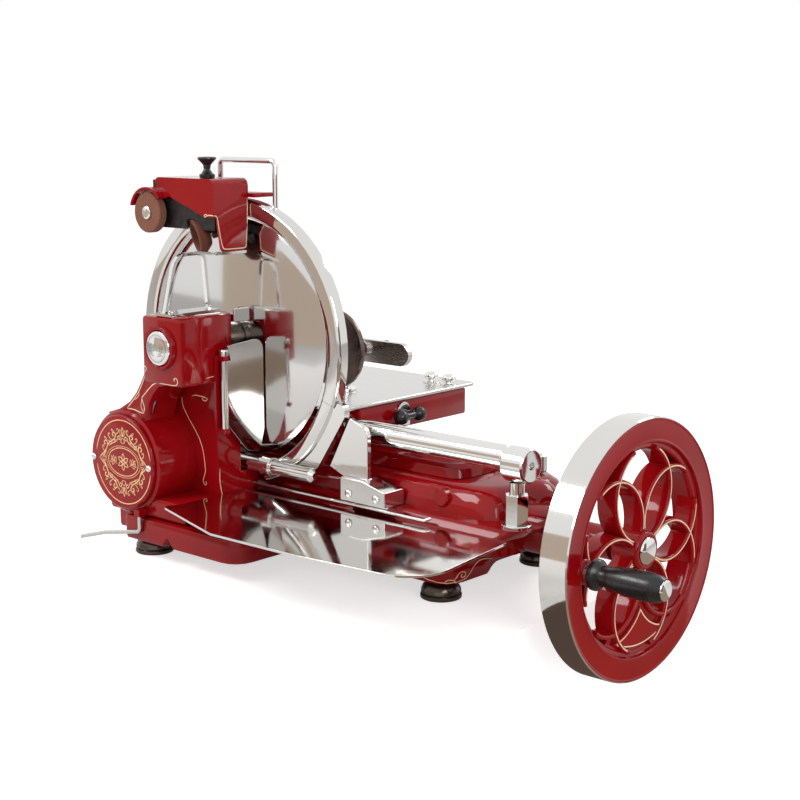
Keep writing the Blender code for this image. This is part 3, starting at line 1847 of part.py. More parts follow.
pillar_hex = helper(
    "guide_pillar_hex",
    prism(
        hex_corners,
        pillar_washer_top - PILLAR["washer_height"] / 2.0,
        PILLAR["hex_top_z"] + PILLAR["washer_height"],
        "Z",
    ),
)
unite(pillar, pillar_hex)

# Rear rail under the carriage

RAIL = {"left_x": -0.060, "right_x": 0.330, "front_y": 0.1240, "back_y": 0.1340, "top_z": 0.1320, "edge": 0.0020}
rear_rail = to_object(
    "rear_rail",
    box(
        (RAIL["left_x"], RAIL["front_y"], GEAR_CASE_TOP_Z + SEAT_GAP),
        (RAIL["right_x"], RAIL["back_y"], RAIL["top_z"]),
    ),
    "brushed_steel",
)
soften(rear_rail, RAIL["edge"], 1)

# Carriage, which slides along the tube, and the table that slides across it

CARRIAGE = {
    "left_x": -0.060,
    "right_x": 0.146,
    "front_y": 0.0380,
    "back_y": 0.2220,
    "low_z": 0.1390,
    "sleeve_left_x": -0.020,
    "sleeve_right_x": 0.140,
    "sleeve_outer": 0.0175,
    "foot_left_x": -0.030,
    "foot_right_x": 0.120,
    "edge": 0.0030,
}
carriage_axis = axis_empty("carriage_axis", (0.0, TUBE_Y, TUBE_Z))
carriage_top = TABLE_TOP_Z - TABLE_SHEET - SLIDE_GAP
carriage = to_object(
    "carriage",
    box(
        (CARRIAGE["left_x"], CARRIAGE["front_y"], CARRIAGE["low_z"]),
        (CARRIAGE["right_x"], CARRIAGE["back_y"], carriage_top),
    ),
    "red_enamel",
    carriage_axis,
)
soften(carriage, CARRIAGE["edge"])
carriage_sleeve = helper(
    "carriage_sleeve",
    rod(
        CARRIAGE["sleeve_outer"],
        CARRIAGE["sleeve_left_x"],
        CARRIAGE["sleeve_right_x"],
        "X",
        (0.0, TUBE_Y, TUBE_Z),
        ROUND_SIDES,
        CARRIAGE["edge"] / 2.0,
    ),
)
carriage_foot = helper(
    "carriage_foot",
    box(
        (CARRIAGE["foot_left_x"], RAIL["front_y"] - CARRIAGE["edge"], RAIL["top_z"] + SLIDE_GAP),
        (CARRIAGE["foot_right_x"], RAIL["back_y"] + CARRIAGE["edge"], CARRIAGE["low_z"] + OVERRUN),
    ),
)
carriage_bore = helper(
    "carriage_bore",
    rod(
        TUBE_RADIUS + SLIDE_GAP,
        CARRIAGE["left_x"] - OVERRUN,
        CARRIAGE["right_x"] + OVERRUN,
        "X",
        (0.0, TUBE_Y, TUBE_Z),
        ROUND_SIDES,
    ),
)
unite(carriage, carriage_sleeve, carriage_foot)
cut(carriage, carriage_bore)

TABLE = {"front_y": 0.0050, "corner": 0.0100, "edge": 0.0008, "pad_height": 0.0010, "pad_margin": 0.0012}
table_axis = axis_empty("table_axis", (TABLE_RIGHT_X - TABLE_WIDTH / 2.0, TABLE["front_y"], TABLE_TOP_Z))
table_left = TABLE_RIGHT_X - TABLE_WIDTH
table = to_object(
    "meat_table",
    prism(
        rounded(
            [
                (table_left, TABLE["front_y"], TABLE["corner"] / 4.0),
                (TABLE_RIGHT_X, TABLE["front_y"], TABLE["corner"] / 4.0),
                (TABLE_RIGHT_X, TABLE["front_y"] + TABLE_DEPTH, TABLE["corner"]),
                (table_left, TABLE["front_y"] + TABLE_DEPTH, TABLE["corner"]),
            ]
        ),
        TABLE_TOP_Z - TABLE_SHEET,
        TABLE_TOP_Z,
        "Z",
    ),
    "brushed_steel",
    table_axis,
)
soften(table, TABLE["edge"], 1)

# Low pads on the table: the knobs and the press post stand on them

KNOB = {"stem": 0.0040, "head": 0.0090, "height": 0.0175, "left_x": 0.111, "back_inset": 0.0370}
POST = {"x": 0.0760, "y": 0.0900, "foot_radius": 0.0130}
knob_y = TABLE["front_y"] + TABLE_DEPTH - KNOB["back_inset"]
knob_x = (KNOB["left_x"], TABLE_RIGHT_X - KNOB["head"] * 1.4)
pad_places = [(place_x, knob_y, KNOB["head"]) for place_x in knob_x] + [(POST["x"], POST["y"], POST["foot_radius"])]
table_pads = []
for number, (place_x, place_y, held_radius) in enumerate(pad_places):
    table_pads.append(
        helper(
            f"table_pad_{number}",
            rod(
                held_radius + TABLE["pad_margin"],
                TABLE_TOP_Z - TABLE_SHEET / 2.0,
                TABLE_TOP_Z + TABLE["pad_height"],
                "Z",
                (place_x, place_y, 0.0),
                SMALL_SIDES,
            ),
        )
    )
unite(table, *table_pads)
table_seat_z = TABLE_TOP_Z + TABLE["pad_height"] + SEAT_GAP

# The clamp knobs at the table's back

for name, place_x in zip(("left", "right"), knob_x):
    knob_rise_shares = ((0.0, 1.0), (0.42, 1.0), (0.47, 2.0), (0.58, 2.25), (0.88, 2.2), (1.0, 1.7))
    knob_profile = [(0.0, table_seat_z)]
    for rise, reach in knob_rise_shares:
        knob_profile.append((KNOB["stem"] * reach, table_seat_z + KNOB["height"] * rise))
    knob_profile.append((0.0, table_seat_z + KNOB["height"]))
    to_object(
        "table_knob_" + name,
        turned(knob_profile, "Z", (place_x, knob_y, 0.0), SMALL_SIDES),
        "black_resin",
        table_axis,
    )

# Feed lever on the carriage's right end: a chrome plate and a black handle with two balls

FEED = {
    "y": 0.1090,
    "z": 0.1545,
    "plate_half_y": 0.0100,
    "plate_low_z": 0.1420,
    "plate_top_z": 0.1690,
    "plate_thickness": 0.0026,
    "hub_radius": 0.0060,
    "hub_length": 0.0070,
    "ball_radius": 0.0085,
    "ball_reach": 0.0150,
    "arm_radius": 0.0035,
}
feed_face_x = CARRIAGE["right_x"] + SEAT_GAP
feed_plate = to_object(
    "feed_plate",
    prism(
        rounded(
            [
                (FEED["y"] - FEED["plate_half_y"], FEED["plate_low_z"], 0.0),
                (FEED["y"] + FEED["plate_half_y"], FEED["plate_low_z"], 0.0),
                (FEED["y"] + FEED["plate_half_y"], FEED["plate_top_z"], FEED["plate_half_y"]),
                (FEED["y"] - FEED["plate_half_y"], FEED["plate_top_z"], FEED["plate_half_y"]),
            ]
        ),
        feed_face_x,
        feed_face_x + FEED["plate_thickness"],
        "X",
    ),
    "chrome",
    carriage_axis,
)
lever_face_x = feed_face_x + FEED["plate_thickness"] + SEAT_GAP
feed_axis = axis_empty("feed_lever_axis", (lever_face_x, FEED["y"], FEED["z"]))
feed_lever = to_object(
    "feed_lever",
    rod(
        FEED["hub_radius"],
        lever_face_x,
        lever_face_x + FEED["hub_length"],
        "X",
        (0.0, FEED["y"], FEED["z"]),
        SMALL_SIDES,
        TABLE["edge"],
    ),
    "black_resin",
    feed_axis,
)
feed_arm_x = lever_face_x + FEED["hub_length"] + FEED["arm_radius"] / 2.0
feed_arm = helper(
    "feed_lever_arm",
    rod(
        FEED["arm_radius"],
        FEED["y"] - FEED["ball_reach"] + FEED["arm_radius"] / 2.0,
        FEED["y"] + FEED["ball_reach"] - FEED["arm_radius"] / 3.0,
        "Y",
        (feed_arm_x, 0.0, FEED["z"]),
        SMALL_SIDES,
    ),
)
feed_shapes = [feed_arm]
ball_turns = 8
for side in (-1.0, 1.0):
    profile = [
        (
            FEED["ball_radius"] * math.sin(math.pi * step / ball_turns) if 0 < step < ball_turns else 0.0,
            -FEED["ball_radius"] * math.cos(math.pi * step / ball_turns),
        )
        for step in range(ball_turns + 1)
    ]
    feed_shapes.append(
        helper(
            "feed_lever_ball_" + ("front" if side < 0.0 else "back"),
            turned(
                profile,
                "Y",
                (feed_arm_x, FEED["y"] + side * FEED["ball_reach"], FEED["z"]),
                SMALL_SIDES,
            ),
        )
    )
unite(feed_lever, *feed_shapes)

# Meat press: a post on the table, an arm that lifts on it and a disc on a spindle

PRESS = {
    "post_radius": 0.0065,
    "post_foot_height": 0.0050,
    "post_top_z": 0.2520,
    "arm_low_z": 0.2130,
    "arm_top_z": 0.2380,
    "arm_front_y": 0.0865,
    "arm_back_y": 0.0935,
    "arm_end_x": 0.1780,
    "boss_radius": 0.0115,
    "disc_x": 0.1090,
    "disc_z": 0.2330,
    "disc_radius": 0.0430,
    "disc_front_y": 0.0370,
    "disc_thickness": 0.0060,
    "spindle_radius": 0.0050,
    "spindle_back_y": 0.1250,
}
to_object(
    "press_post",
    turned(
        [
            (0.0, table_seat_z),
            (POST["foot_radius"], table_seat_z),
            (POST["foot_radius"], TABLE_TOP_Z + PRESS["post_foot_height"] * 0.8),
            (POST["foot_radius"] * 0.9, TABLE_TOP_Z + PRESS["post_foot_height"]),
            (PRESS["post_radius"], TABLE_TOP_Z + PRESS["post_foot_height"]),
            (PRESS["post_radius"], PRESS["post_top_z"] - PRESS["post_radius"] / 2.0),
            (PRESS["post_radius"] / 2.0, PRESS["post_top_z"]),
            (0.0, PRESS["post_top_z"]),
        ],
        "Z",
        (POST["x"], POST["y"], 0.0),
        SMALL_SIDES,
    ),
    "chrome",
    table_axis,
)
press_axis = axis_empty("press_arm_axis", (POST["x"], POST["y"], PRESS["arm_low_z"]))
press_middle_z = (PRESS["arm_low_z"] + PRESS["arm_top_z"]) / 2.0
press_arm = to_object(
    "press_arm",
    prism(
        rounded(
            [
                (POST["x"], PRESS["arm_low_z"], 0.0),
                (PRESS["arm_end_x"] - PRESS["boss_radius"], PRESS["arm_low_z"], PRESS["boss_radius"]),
                (PRESS["arm_end_x"], press_middle_z, PRESS["boss_radius"]),
                (PRESS["arm_end_x"] - PRESS["boss_radius"], PRESS["arm_top_z"], PRESS["boss_radius"]),
                (POST["x"], PRESS["arm_top_z"], 0.0),
            ]
        ),
        PRESS["arm_front_y"],
        PRESS["arm_back_y"],
        "Y",
    ),
    "polished_steel",
    press_axis,
)
press_boss = helper(
    "press_arm_boss",
    rod(
        PRESS["boss_radius"],
        PRESS["arm_low_z"] - SEAT_GAP,
        PRESS["arm_top_z"] + SEAT_GAP,
        "Z",
        (POST["x"], POST["y"], 0.0),
        ROUND_SIDES,
    ),
)
press_collar = helper(
    "press_arm_collar",
    rod(
        PRESS["spindle_radius"] * 1.8,
        PRESS["arm_front_y"] - OVERRUN,
        PRESS["arm_back_y"] + OVERRUN,
        "Y",
        (PRESS["disc_x"], 0.0, PRESS["disc_z"] - PRESS["spindle_radius"]),
        ROUND_SIDES,
    ),
)
press_bore = helper(
    "press_arm_bore",
    rod(
        PRESS["post_radius"] + SLIDE_GAP,
        PRESS["arm_low_z"] - OVERRUN,
        PRESS["arm_top_z"] + OVERRUN,
        "Z",
        (POST["x"], POST["y"], 0.0),
        SMALL_SIDES,
    ),
)
spindle_bore = helper(
    "press_spindle_bore",
    rod(
        PRESS["spindle_radius"] + SLIDE_GAP,
        PRESS["arm_front_y"] - OVERRUN * 2.0,
        PRESS["arm_back_y"] + OVERRUN * 2.0,
        "Y",
        (PRESS["disc_x"], 0.0, PRESS["disc_z"] - PRESS["spindle_radius"]),
        SMALL_SIDES,
    ),
)
unite(press_arm, press_boss, press_collar)
cut(press_arm, press_bore, spindle_bore)

press_disc_axis = axis_empty(
    "press_disc_axis", (PRESS["disc_x"], PRESS["disc_front_y"], PRESS["disc_z"])
)
press_disc = to_object(
    "press_disc",
    rod(
        PRESS["disc_radius"],
        PRESS["disc_front_y"],
        PRESS["disc_front_y"] + PRESS["disc_thickness"],
        "Y",
        (PRESS["disc_x"], 0.0, PRESS["disc_z"]),
        FINE_SIDES,
        PRESS["disc_thickness"] / 4.0,
    ),
    "blackened_steel",
    press_disc_axis,
)
press_spindle = helper(
    "press_disc_spindle",
    rod(
        PRESS["spindle_radius"],
        PRESS["disc_front_y"] + PRESS["disc_thickness"] / 2.0,
        PRESS["spindle_back_y"],
        "Y",
        (PRESS["disc_x"], 0.0, PRESS["disc_z"] - PRESS["spindle_radius"]),
        SMALL_SIDES,
    ),
)
unite(press_disc, press_spindle)

# Deflector: a polished plate beside the blade on a pinned hinge

DEFLECTOR = {
    "hinge_x": 0.0415,
    "hinge_y": -0.0620,
    "plate_left_x": 0.0400,
    "plate_thickness": 0.0016,
    "front_y": -0.0640,
    "back_y": -0.0045,
    "top_z": 0.2440,
    "notch_z": 0.2236,
    "notch_y": -0.0520,
    "shoulder_y": -0.0570,
    "front_low_z": 0.1565,
    "mid_z": 0.1420,
    "low_z": 0.1170,
    "low_y": -0.0110,
    "corner": 0.0120,
    "barrel_radius": 0.0036,
    "barrel_low_z": 0.1500,
    "barrel_top_z": 0.2240,
    "lug_height": 0.0055,
    "pin_radius": 0.0018,
    "leaf_left_x": 0.0313,
    "leaf_thickness": 0.0030,
    "leaf_front_y": -0.0680,
    "leaf_back_y": -0.0560,
    "knob_radius": 0.0052,
}
deflector_axis = axis_empty(
    "deflector_axis", (DEFLECTOR["hinge_x"], DEFLECTOR["hinge_y"], DEFLECTOR["barrel_low_z"])
)
lug_reach = DEFLECTOR["barrel_radius"] * 1.7
deflector = to_object(
    "deflector",
    prism(
        rounded(
            [
                (DEFLECTOR["front_y"], DEFLECTOR["barrel_top_z"] - SEAT_GAP, 0.0),
                (DEFLECTOR["notch_y"], DEFLECTOR["notch_z"] - SEAT_GAP, 0.0),
                (DEFLECTOR["shoulder_y"], DEFLECTOR["top_z"] - OVERRUN, DEFLECTOR["corner"] / 12.0),
                (DEFLECTOR["back_y"], DEFLECTOR["top_z"], DEFLECTOR["corner"]),
                (DEFLECTOR["back_y"], DEFLECTOR["mid_z"], 0.0),
                (DEFLECTOR["low_y"], DEFLECTOR["low_z"], DEFLECTOR["corner"] / 4.0),
                (DEFLECTOR["low_y"] - DEFLECTOR["corner"] * 1.6, DEFLECTOR["low_z"] + OVERRUN, DEFLECTOR["corner"]),
                (DEFLECTOR["hinge_y"] + lug_reach, DEFLECTOR["barrel_low_z"] + SEAT_GAP * 2.0, 0.0),
                (DEFLECTOR["front_y"], DEFLECTOR["front_low_z"], DEFLECTOR["corner"] / 4.0),
            ]
        ),
        DEFLECTOR["plate_left_x"] + SEAT_GAP,
        DEFLECTOR["plate_left_x"] + SEAT_GAP + DEFLECTOR["plate_thickness"],
        "X",
    ),
    "polished_steel",
    deflector_axis,
)
deflector_barrel = helper(
    "deflector_barrel",
    rod(
        DEFLECTOR["barrel_radius"],
        DEFLECTOR["barrel_low_z"],
        DEFLECTOR["barrel_top_z"],
        "Z",
        (DEFLECTOR["hinge_x"], DEFLECTOR["hinge_y"], 0.0),
        SMALL_SIDES,
    ),
)
deflector_bore = helper(
    "deflector_bore",
    rod(
        DEFLECTOR["pin_radius"] + RUN_GAP,
        DEFLECTOR["barrel_low_z"] - OVERRUN * 2.0,
        DEFLECTOR["barrel_top_z"] + OVERRUN,
        "Z",
        (DEFLECTOR["hinge_x"], DEFLECTOR["hinge_y"], 0.0),
        SMALL_SIDES,
    ),
)
unite(deflector, deflector_barrel)
cut(deflector, deflector_bore)

leaf_low = DEFLECTOR["barrel_low_z"] - DEFLECTOR["lug_height"]
leaf_high = DEFLECTOR["barrel_top_z"] + DEFLECTOR["lug_height"]
deflector_leaf = to_object(
    "deflector_bracket",
    box(
        (DEFLECTOR["leaf_left_x"], DEFLECTOR["leaf_front_y"], leaf_low),
        (
            DEFLECTOR["leaf_left_x"] + DEFLECTOR["leaf_thickness"],
            DEFLECTOR["leaf_back_y"],
            leaf_high,
        ),
    ),
    "chrome",
)
leaf_shapes = []
for name, low, high in (
    ("low", leaf_low + SEAT_GAP, DEFLECTOR["barrel_low_z"] - SEAT_GAP),
    ("high", DEFLECTOR["barrel_top_z"] + SEAT_GAP, leaf_high - SEAT_GAP),
):
    leaf_shapes.append(
        helper(
            "deflector_bracket_lug_" + name,
            box(
                (
                    DEFLECTOR["leaf_left_x"] + SEAT_GAP,
                    DEFLECTOR["hinge_y"] - DEFLECTOR["barrel_radius"],
                    low,
                ),
                (
                    DEFLECTOR["hinge_x"] + DEFLECTOR["barrel_radius"],
                    DEFLECTOR["hinge_y"] + DEFLECTOR["barrel_radius"],
                    high,
                ),
            ),
        )
    )
leaf_bore = helper(
    "deflector_bracket_bore",
    rod(
        DEFLECTOR["pin_radius"] + SEAT_GAP,
        leaf_low - OVERRUN,
        leaf_high + OVERRUN,
        "Z",
        (DEFLECTOR["hinge_x"], DEFLECTOR["hinge_y"], 0.0),
        SMALL_SIDES,
    ),
)
unite(deflector_leaf, *leaf_shapes)
cut(deflector_leaf, leaf_bore)
pin_head = DEFLECTOR["knob_radius"]
to_object(
    "deflector_pin",
    turned(
        [
            (0.0, leaf_low),
            (DEFLECTOR["pin_radius"], leaf_low),
            (DEFLECTOR["pin_radius"], leaf_high + SEAT_GAP),
            (pin_head, leaf_high + SEAT_GAP),
            (pin_head, leaf_high + SEAT_GAP + pin_head),
            (pin_head * 0.8, leaf_high + SEAT_GAP + pin_head * 1.3),
            (0.0, leaf_high + SEAT_GAP + pin_head * 1.3),
        ],
        "Z",
        (DEFLECTOR["hinge_x"], DEFLECTOR["hinge_y"], 0.0),
        SMALL_SIDES,
    ),
    "chrome",
)

# Bright bracket over the blade's hub

HUB_BRACKET = {
    "left_x": 0.0050,
    "right_x": 0.0235,
    "sheet": 0.0028,
    "back_y": -0.0065,
    "low_z": 0.2615,
    "top_z": 0.2700,
    "blade_low_z": 0.2610,
    "blade_top_z": 0.2760,
}
bracket_face_y = COLUMN["back_y"] + SEAT_GAP
hub_bracket = to_object(
    "hub_bracket",
    box(
        (HUB_BRACKET["left_x"], bracket_face_y, HUB_BRACKET["low_z"]),
        (HUB_BRACKET["right_x"] - SEAT_GAP, bracket_face_y + HUB_BRACKET["sheet"], HUB_BRACKET["top_z"]),
    ),
    "chrome",
)
bracket_arm = helper(
    "hub_bracket_arm",
    box(
        (HUB_BRACKET["right_x"] - HUB_BRACKET["sheet"], bracket_face_y + SEAT_GAP, HUB_BRACKET["blade_low_z"]),
        (HUB_BRACKET["right_x"], HUB_BRACKET["back_y"], HUB_BRACKET["blade_top_z"]),
    ),
)
soften(bracket_arm, HUB_BRACKET["sheet"] / 4.0, 1)
unite(hub_bracket, bracket_arm)

# Slice tray, which draws out over its runner, and the bright strip behind it

TRAY = {
    "sheet": 0.0025,
    "left_x": 0.0320,
    "back_y": -0.0040,
    "left_front_y": -0.1180,
    "tip_x": 0.0250,
    "tip_y": -0.1380,
    "bend_x": 0.1420,
    "bend_y": -0.1760,
    "front_x": 0.2670,
    "front_y": -0.1740,
    "corner_x": 0.4060,
    "corner_y": -0.1600,
    "right_x": 0.3840,
    "corner": 0.0450,
    "edge": 0.0100,
}
RUNNER = {
    "left_x": 0.0480,
    "right_x": 0.1000,
    "front_y": -0.1080,
    "back_y": -0.0340,
    "edge": 0.0020,
}
tray_axis = axis_empty("tray_axis", (TRAY["left_x"], TRAY["back_y"], TRAY_Z))
to_object(
    "slice_tray",
    prism(
        rounded(
            [
                (TRAY["left_x"], TRAY["back_y"], 0.0),
                (TRAY["left_x"], TRAY["left_front_y"], 0.0),
                (TRAY["tip_x"], TRAY["tip_y"], TRAY["edge"] / 2.0),
                (TRAY["bend_x"], TRAY["bend_y"], TRAY["edge"]),
                (TRAY["front_x"], TRAY["front_y"], TRAY["corner"]),
                (TRAY["corner_x"], TRAY["corner_y"], TRAY["corner"]),
                (TRAY["right_x"], TRAY["back_y"], TRAY["edge"] / 2.0),
            ],
            6,
        ),
        TRAY_Z - TRAY["sheet"],
        TRAY_Z,
        "Z",
    ),
    "polished_steel",
    tray_axis,
)
tray_runner = to_object(
    "tray_runner",
    box(
        (RUNNER["left_x"], RUNNER["front_y"], PLINTH_TOP_Z + SEAT_GAP),
        (RUNNER["right_x"], RUNNER["back_y"], TRAY_Z - TRAY["sheet"] - SLIDE_GAP),
    ),
    "blackened_steel",
)
soften(tray_runner, RUNNER["edge"], 1)

STRIP = {"left_x": 0.0312, "right_x": 0.2850, "front_y": -0.0150, "back_y": -0.0040, "low_z": 0.0790, "edge": 0.0008}
tray_strip = to_object(
    "tray_strip",
    box(
        (STRIP["left_x"], STRIP["front_y"], STRIP["low_z"]),
        (STRIP["right_x"], STRIP["back_y"], DECK_Z),
    ),
    "polished_steel",
)
soften(tray_strip, STRIP["edge"], 1)

# Arch bracket on the head, a bent strip with a tongue that the sharpener rests on

ARCH_STRIP = {
    "half_x": 0.0024,
    "foot_half_x": 0.0130,
    "sheet": 0.0036,
    "plate": 0.0030,
    "front_y": -0.1100,
    "back_y": -0.0440,
    "top_front_y": -0.0930,
    "top_back_y": -0.0500,
    "top_z": 0.3390,
    "corner": 0.0200,
    "tongue_right_x": 0.0295,
    "tongue_front_y": -0.0600,
    "tongue_back_y": -0.0150,
    "tongue_width": 0.0044,
    "screw_y": -0.0980,
    "screw_radius": 0.0038,
    "screw_height": 0.0024,
}
arch_low = COLUMN["top_z"] + SEAT_GAP
arch_outer = rounded(
    [
        (ARCH_STRIP["front_y"], arch_low, 0.0),
        (ARCH_STRIP["top_front_y"], ARCH_STRIP["top_z"], ARCH_STRIP["corner"]),
        (ARCH_STRIP["top_back_y"], ARCH_STRIP["top_z"], ARCH_STRIP["corner"] / 2.0),
        (ARCH_STRIP["back_y"], arch_low, 0.0),
    ]
)
sheet = ARCH_STRIP["sheet"]
arch_inner = rounded(
    [
        (ARCH_STRIP["front_y"] + sheet, arch_low, 0.0),
        (ARCH_STRIP["top_front_y"] + sheet, ARCH_STRIP["top_z"] - sheet, ARCH_STRIP["corner"] - sheet),
        (ARCH_STRIP["top_back_y"] - sheet, ARCH_STRIP["top_z"] - sheet, ARCH_STRIP["corner"] / 2.0 - sheet),
        (ARCH_STRIP["back_y"] - sheet, arch_low, 0.0),
    ]
)
arch_bracket = to_object(
    "arch_bracket",
    prism(
        arch_outer + list(reversed(arch_inner)),
        -ARCH_STRIP["half_x"],
        ARCH_STRIP["half_x"],
        "X",
    ),
    "chrome",
)
arch_foot = helper(
    "arch_bracket_foot",
    box(
        (-ARCH_STRIP["foot_half_x"], ARCH_STRIP["front_y"] - SEAT_GAP, arch_low + SEAT_GAP / 3.0),
        (
            ARCH_STRIP["foot_half_x"],
            ARCH_STRIP["back_y"] + sheet,
            arch_low + ARCH_STRIP["plate"],
        ),
    ),
)
tongue_width = ARCH_STRIP["tongue_width"]
tongue_left = -ARCH_STRIP["half_x"] + SEAT_GAP
arch_tongue = helper(
    "arch_bracket_tongue",
    prism(
        [
            (tongue_left, ARCH_STRIP["tongue_front_y"]),
            (ARCH_STRIP["tongue_right_x"], ARCH_STRIP["tongue_front_y"]),
            (ARCH_STRIP["tongue_right_x"], ARCH_STRIP["tongue_back_y"]),
            (ARCH_STRIP["tongue_right_x"] - tongue_width * 1.6, ARCH_STRIP["tongue_back_y"]),
            (
                ARCH_STRIP["tongue_right_x"] - tongue_width * 1.6,
                ARCH_STRIP["tongue_front_y"] + tongue_width,
            ),
            (tongue_left, ARCH_STRIP["tongue_front_y"] + tongue_width),
        ],
        ARCH_STRIP["top_z"] - sheet * 0.7,
        ARCH_STRIP["top_z"] + SEAT_GAP,
        "Z",
    ),
)
unite(arch_bracket, arch_foot, arch_tongue)
dome_screw(
    "arch_screw",
    (0.0, ARCH_STRIP["screw_y"], arch_low + ARCH_STRIP["plate"]),
    ARCH_STRIP["screw_radius"],
    ARCH_STRIP["screw_height"],
    "Z",
)

# Sharpener: a red hood open below, with a cheek that stands on the tongue, a black
# carrier inside it and two stones on spindles

HOOD = {
    "left_x": -0.0820,
    "right_x": 0.0290,
    "front_y": -0.0610,
    "back_y": -0.0108,
    "top_z": 0.4170,
    "corner": 0.0080,
    "wall": 0.0030,
    "cheek_front_low_y": -0.0560,
    "cheek_step_z": 0.3790,
    "cheek_low_y": -0.0500,
    "cheek_back_low_y": -0.0150,
    "cheek_corner": 0.0050,
    "sill_right_x": 0.0140,
    "sill_right_z": 0.3765,
    "sill_left_x": -0.0440,
    "sill_left_z": 0.3970,
    "fender_inner": 0.0252,
    "fender_outer": 0.0282,
    "fender_front_y": -0.0700,
    "fender_start": 38.0,
    "fender_end": 165.0,
    "ledge_left_x": -0.0480,
    "ledge_right_x": 0.0400,
    "ledge_back_y": 0.0160,
    "ledge_low_z": 0.3962,
    "ledge_top_z": 0.4010,
}
STONE = {
    "one_x": -0.0720,
    "one_z": 0.3780,
    "one_radius": 0.0220,
    "one_front_y": -0.0685,
    "one_back_y": -0.0590,
    "bore": 0.0034,
    "shank": 0.0030,
    "screw_radius": 0.0072,
    "screw_height": 0.0022,
    "two_x": -0.0140,
    "two_y": -0.0500,
    "two_z": 0.3530,
    "two_radius": 0.0200,
    "two_depth": 0.0150,
    "two_rim": 0.0145,
    "two_hollow": 0.0080,
    "two_back_radius": 0.0130,
    "lean_x": -0.45,
    "lean_y": -0.85,
    "lean_z": -0.25,
    "lug_start": 0.0190,
    "lug_end": 0.0390,
    "lug_radius": 0.0070,
}
sharpener_axis = axis_empty("sharpener_axis", (GUIDE["right_x"], GUIDE["y"], RING["lug_top_z"]))
fender_middle = (STONE["one_x"], STONE["one_z"])
hood_low = arc(
    fender_middle, HOOD["fender_inner"], HOOD["fender_end"], HOOD["fender_start"], 10
)
hood_outline = hood_low + rounded(
    [
        (HOOD["sill_left_x"], HOOD["sill_left_z"], 0.0),
        (HOOD["sill_right_x"], HOOD["sill_right_z"], 0.0),
        (HOOD["right_x"], HOOD["sill_right_z"], 0.0),
        (HOOD["right_x"], HOOD["top_z"], HOOD["corner"]),
        (HOOD["left_x"], HOOD["top_z"], HOOD["corner"]),
    ]
)
hood_outline += arc(
    fender_middle, HOOD["fender_outer"], 112.0, HOOD["fender_end"], 5
)
hood = to_object(
    "sharpener_hood",
    prism(hood_outline, HOOD["front_y"], HOOD["back_y"], "Y"),
    "red_enamel",
    sharpener_axis,
)
hood_fender = helper(
    "sharpener_hood_fender",
    prism(
        arc(fender_middle, HOOD["fender_outer"], HOOD["fender_start"], HOOD["fender_end"] - 1.0, 10)
        + arc(
            fender_middle,
            HOOD["fender_inner"] + SEAT_GAP,
            HOOD["fender_end"] - 1.0,
            HOOD["fender_start"],
            10,
        ),
        HOOD["fender_front_y"],
        HOOD["front_y"] + HOOD["wall"],
        "Y",
    ),
)
hood_pocket = helper(
    "sharpener_hood_pocket",
    box(
        (HOOD["left_x"] + HOOD["wall"], HOOD["front_y"] + HOOD["wall"], STONE["two_z"]),
        (HOOD["right_x"] - HOOD["wall"], HOOD["back_y"] - HOOD["wall"], HOOD["top_z"] - HOOD["wall"]),
    ),
)
hood_cheek = helper(
    "sharpener_hood_cheek",
    prism(
        rounded(
            [
                (HOOD["front_y"] + SEAT_GAP * 2.0, HOOD["cheek_step_z"], 0.0),
                (HOOD["cheek_front_low_y"], HOOD["cheek_step_z"], 0.0),
                (HOOD["cheek_low_y"], ARCH_STRIP["top_z"] + SEAT_GAP * 2.0, HOOD["cheek_corner"]),
                (HOOD["cheek_back_low_y"], ARCH_STRIP["top_z"] + SEAT_GAP * 2.0, HOOD["cheek_corner"]),
                (HOOD["back_y"] - SEAT_GAP * 2.0, HOOD["cheek_step_z"], HOOD["cheek_corner"]),
                (HOOD["back_y"] - SEAT_GAP * 2.0, HOOD["top_z"] - HOOD["corner"] * 1.5, 0.0),
                (HOOD["front_y"] + SEAT_GAP * 2.0, HOOD["top_z"] - HOOD["corner"] * 1.5, 0.0),
            ]
        ),
        HOOD["right_x"] - HOOD["wall"] - SEAT_GAP,
        HOOD["right_x"] - SEAT_GAP,
        "X",
    ),
)
hood_ledge = helper(
    "sharpener_hood_ledge",
    box(
        (HOOD["ledge_left_x"], HOOD["back_y"] - HOOD["wall"] / 2.0, HOOD["ledge_low_z"]),
        (HOOD["ledge_right_x"], HOOD["ledge_back_y"], HOOD["ledge_top_z"]),
    ),
)
soften(hood_ledge, HOOD["wall"] / 2.5)
cut(hood, hood_pocket)
unite(hood, hood_fender, hood_cheek, hood_ledge)

stone_lean = Vector((STONE["lean_x"], STONE["lean_y"], STONE["lean_z"])).normalized()
stone_face = Vector((STONE["two_x"], STONE["two_y"], STONE["two_z"]))


def along_stone(work):
    """Turns a shape drawn on +Z at the origin so that +Z runs back from the cup stone's face."""
    lean = Vector((0.0, 0.0, 1.0)).rotation_difference(-stone_lean)
    placed = Matrix.Translation(stone_face) @ lean.to_matrix().to_4x4()
    bmesh.ops.transform(work, matrix=placed, verts=work.verts)
    return work


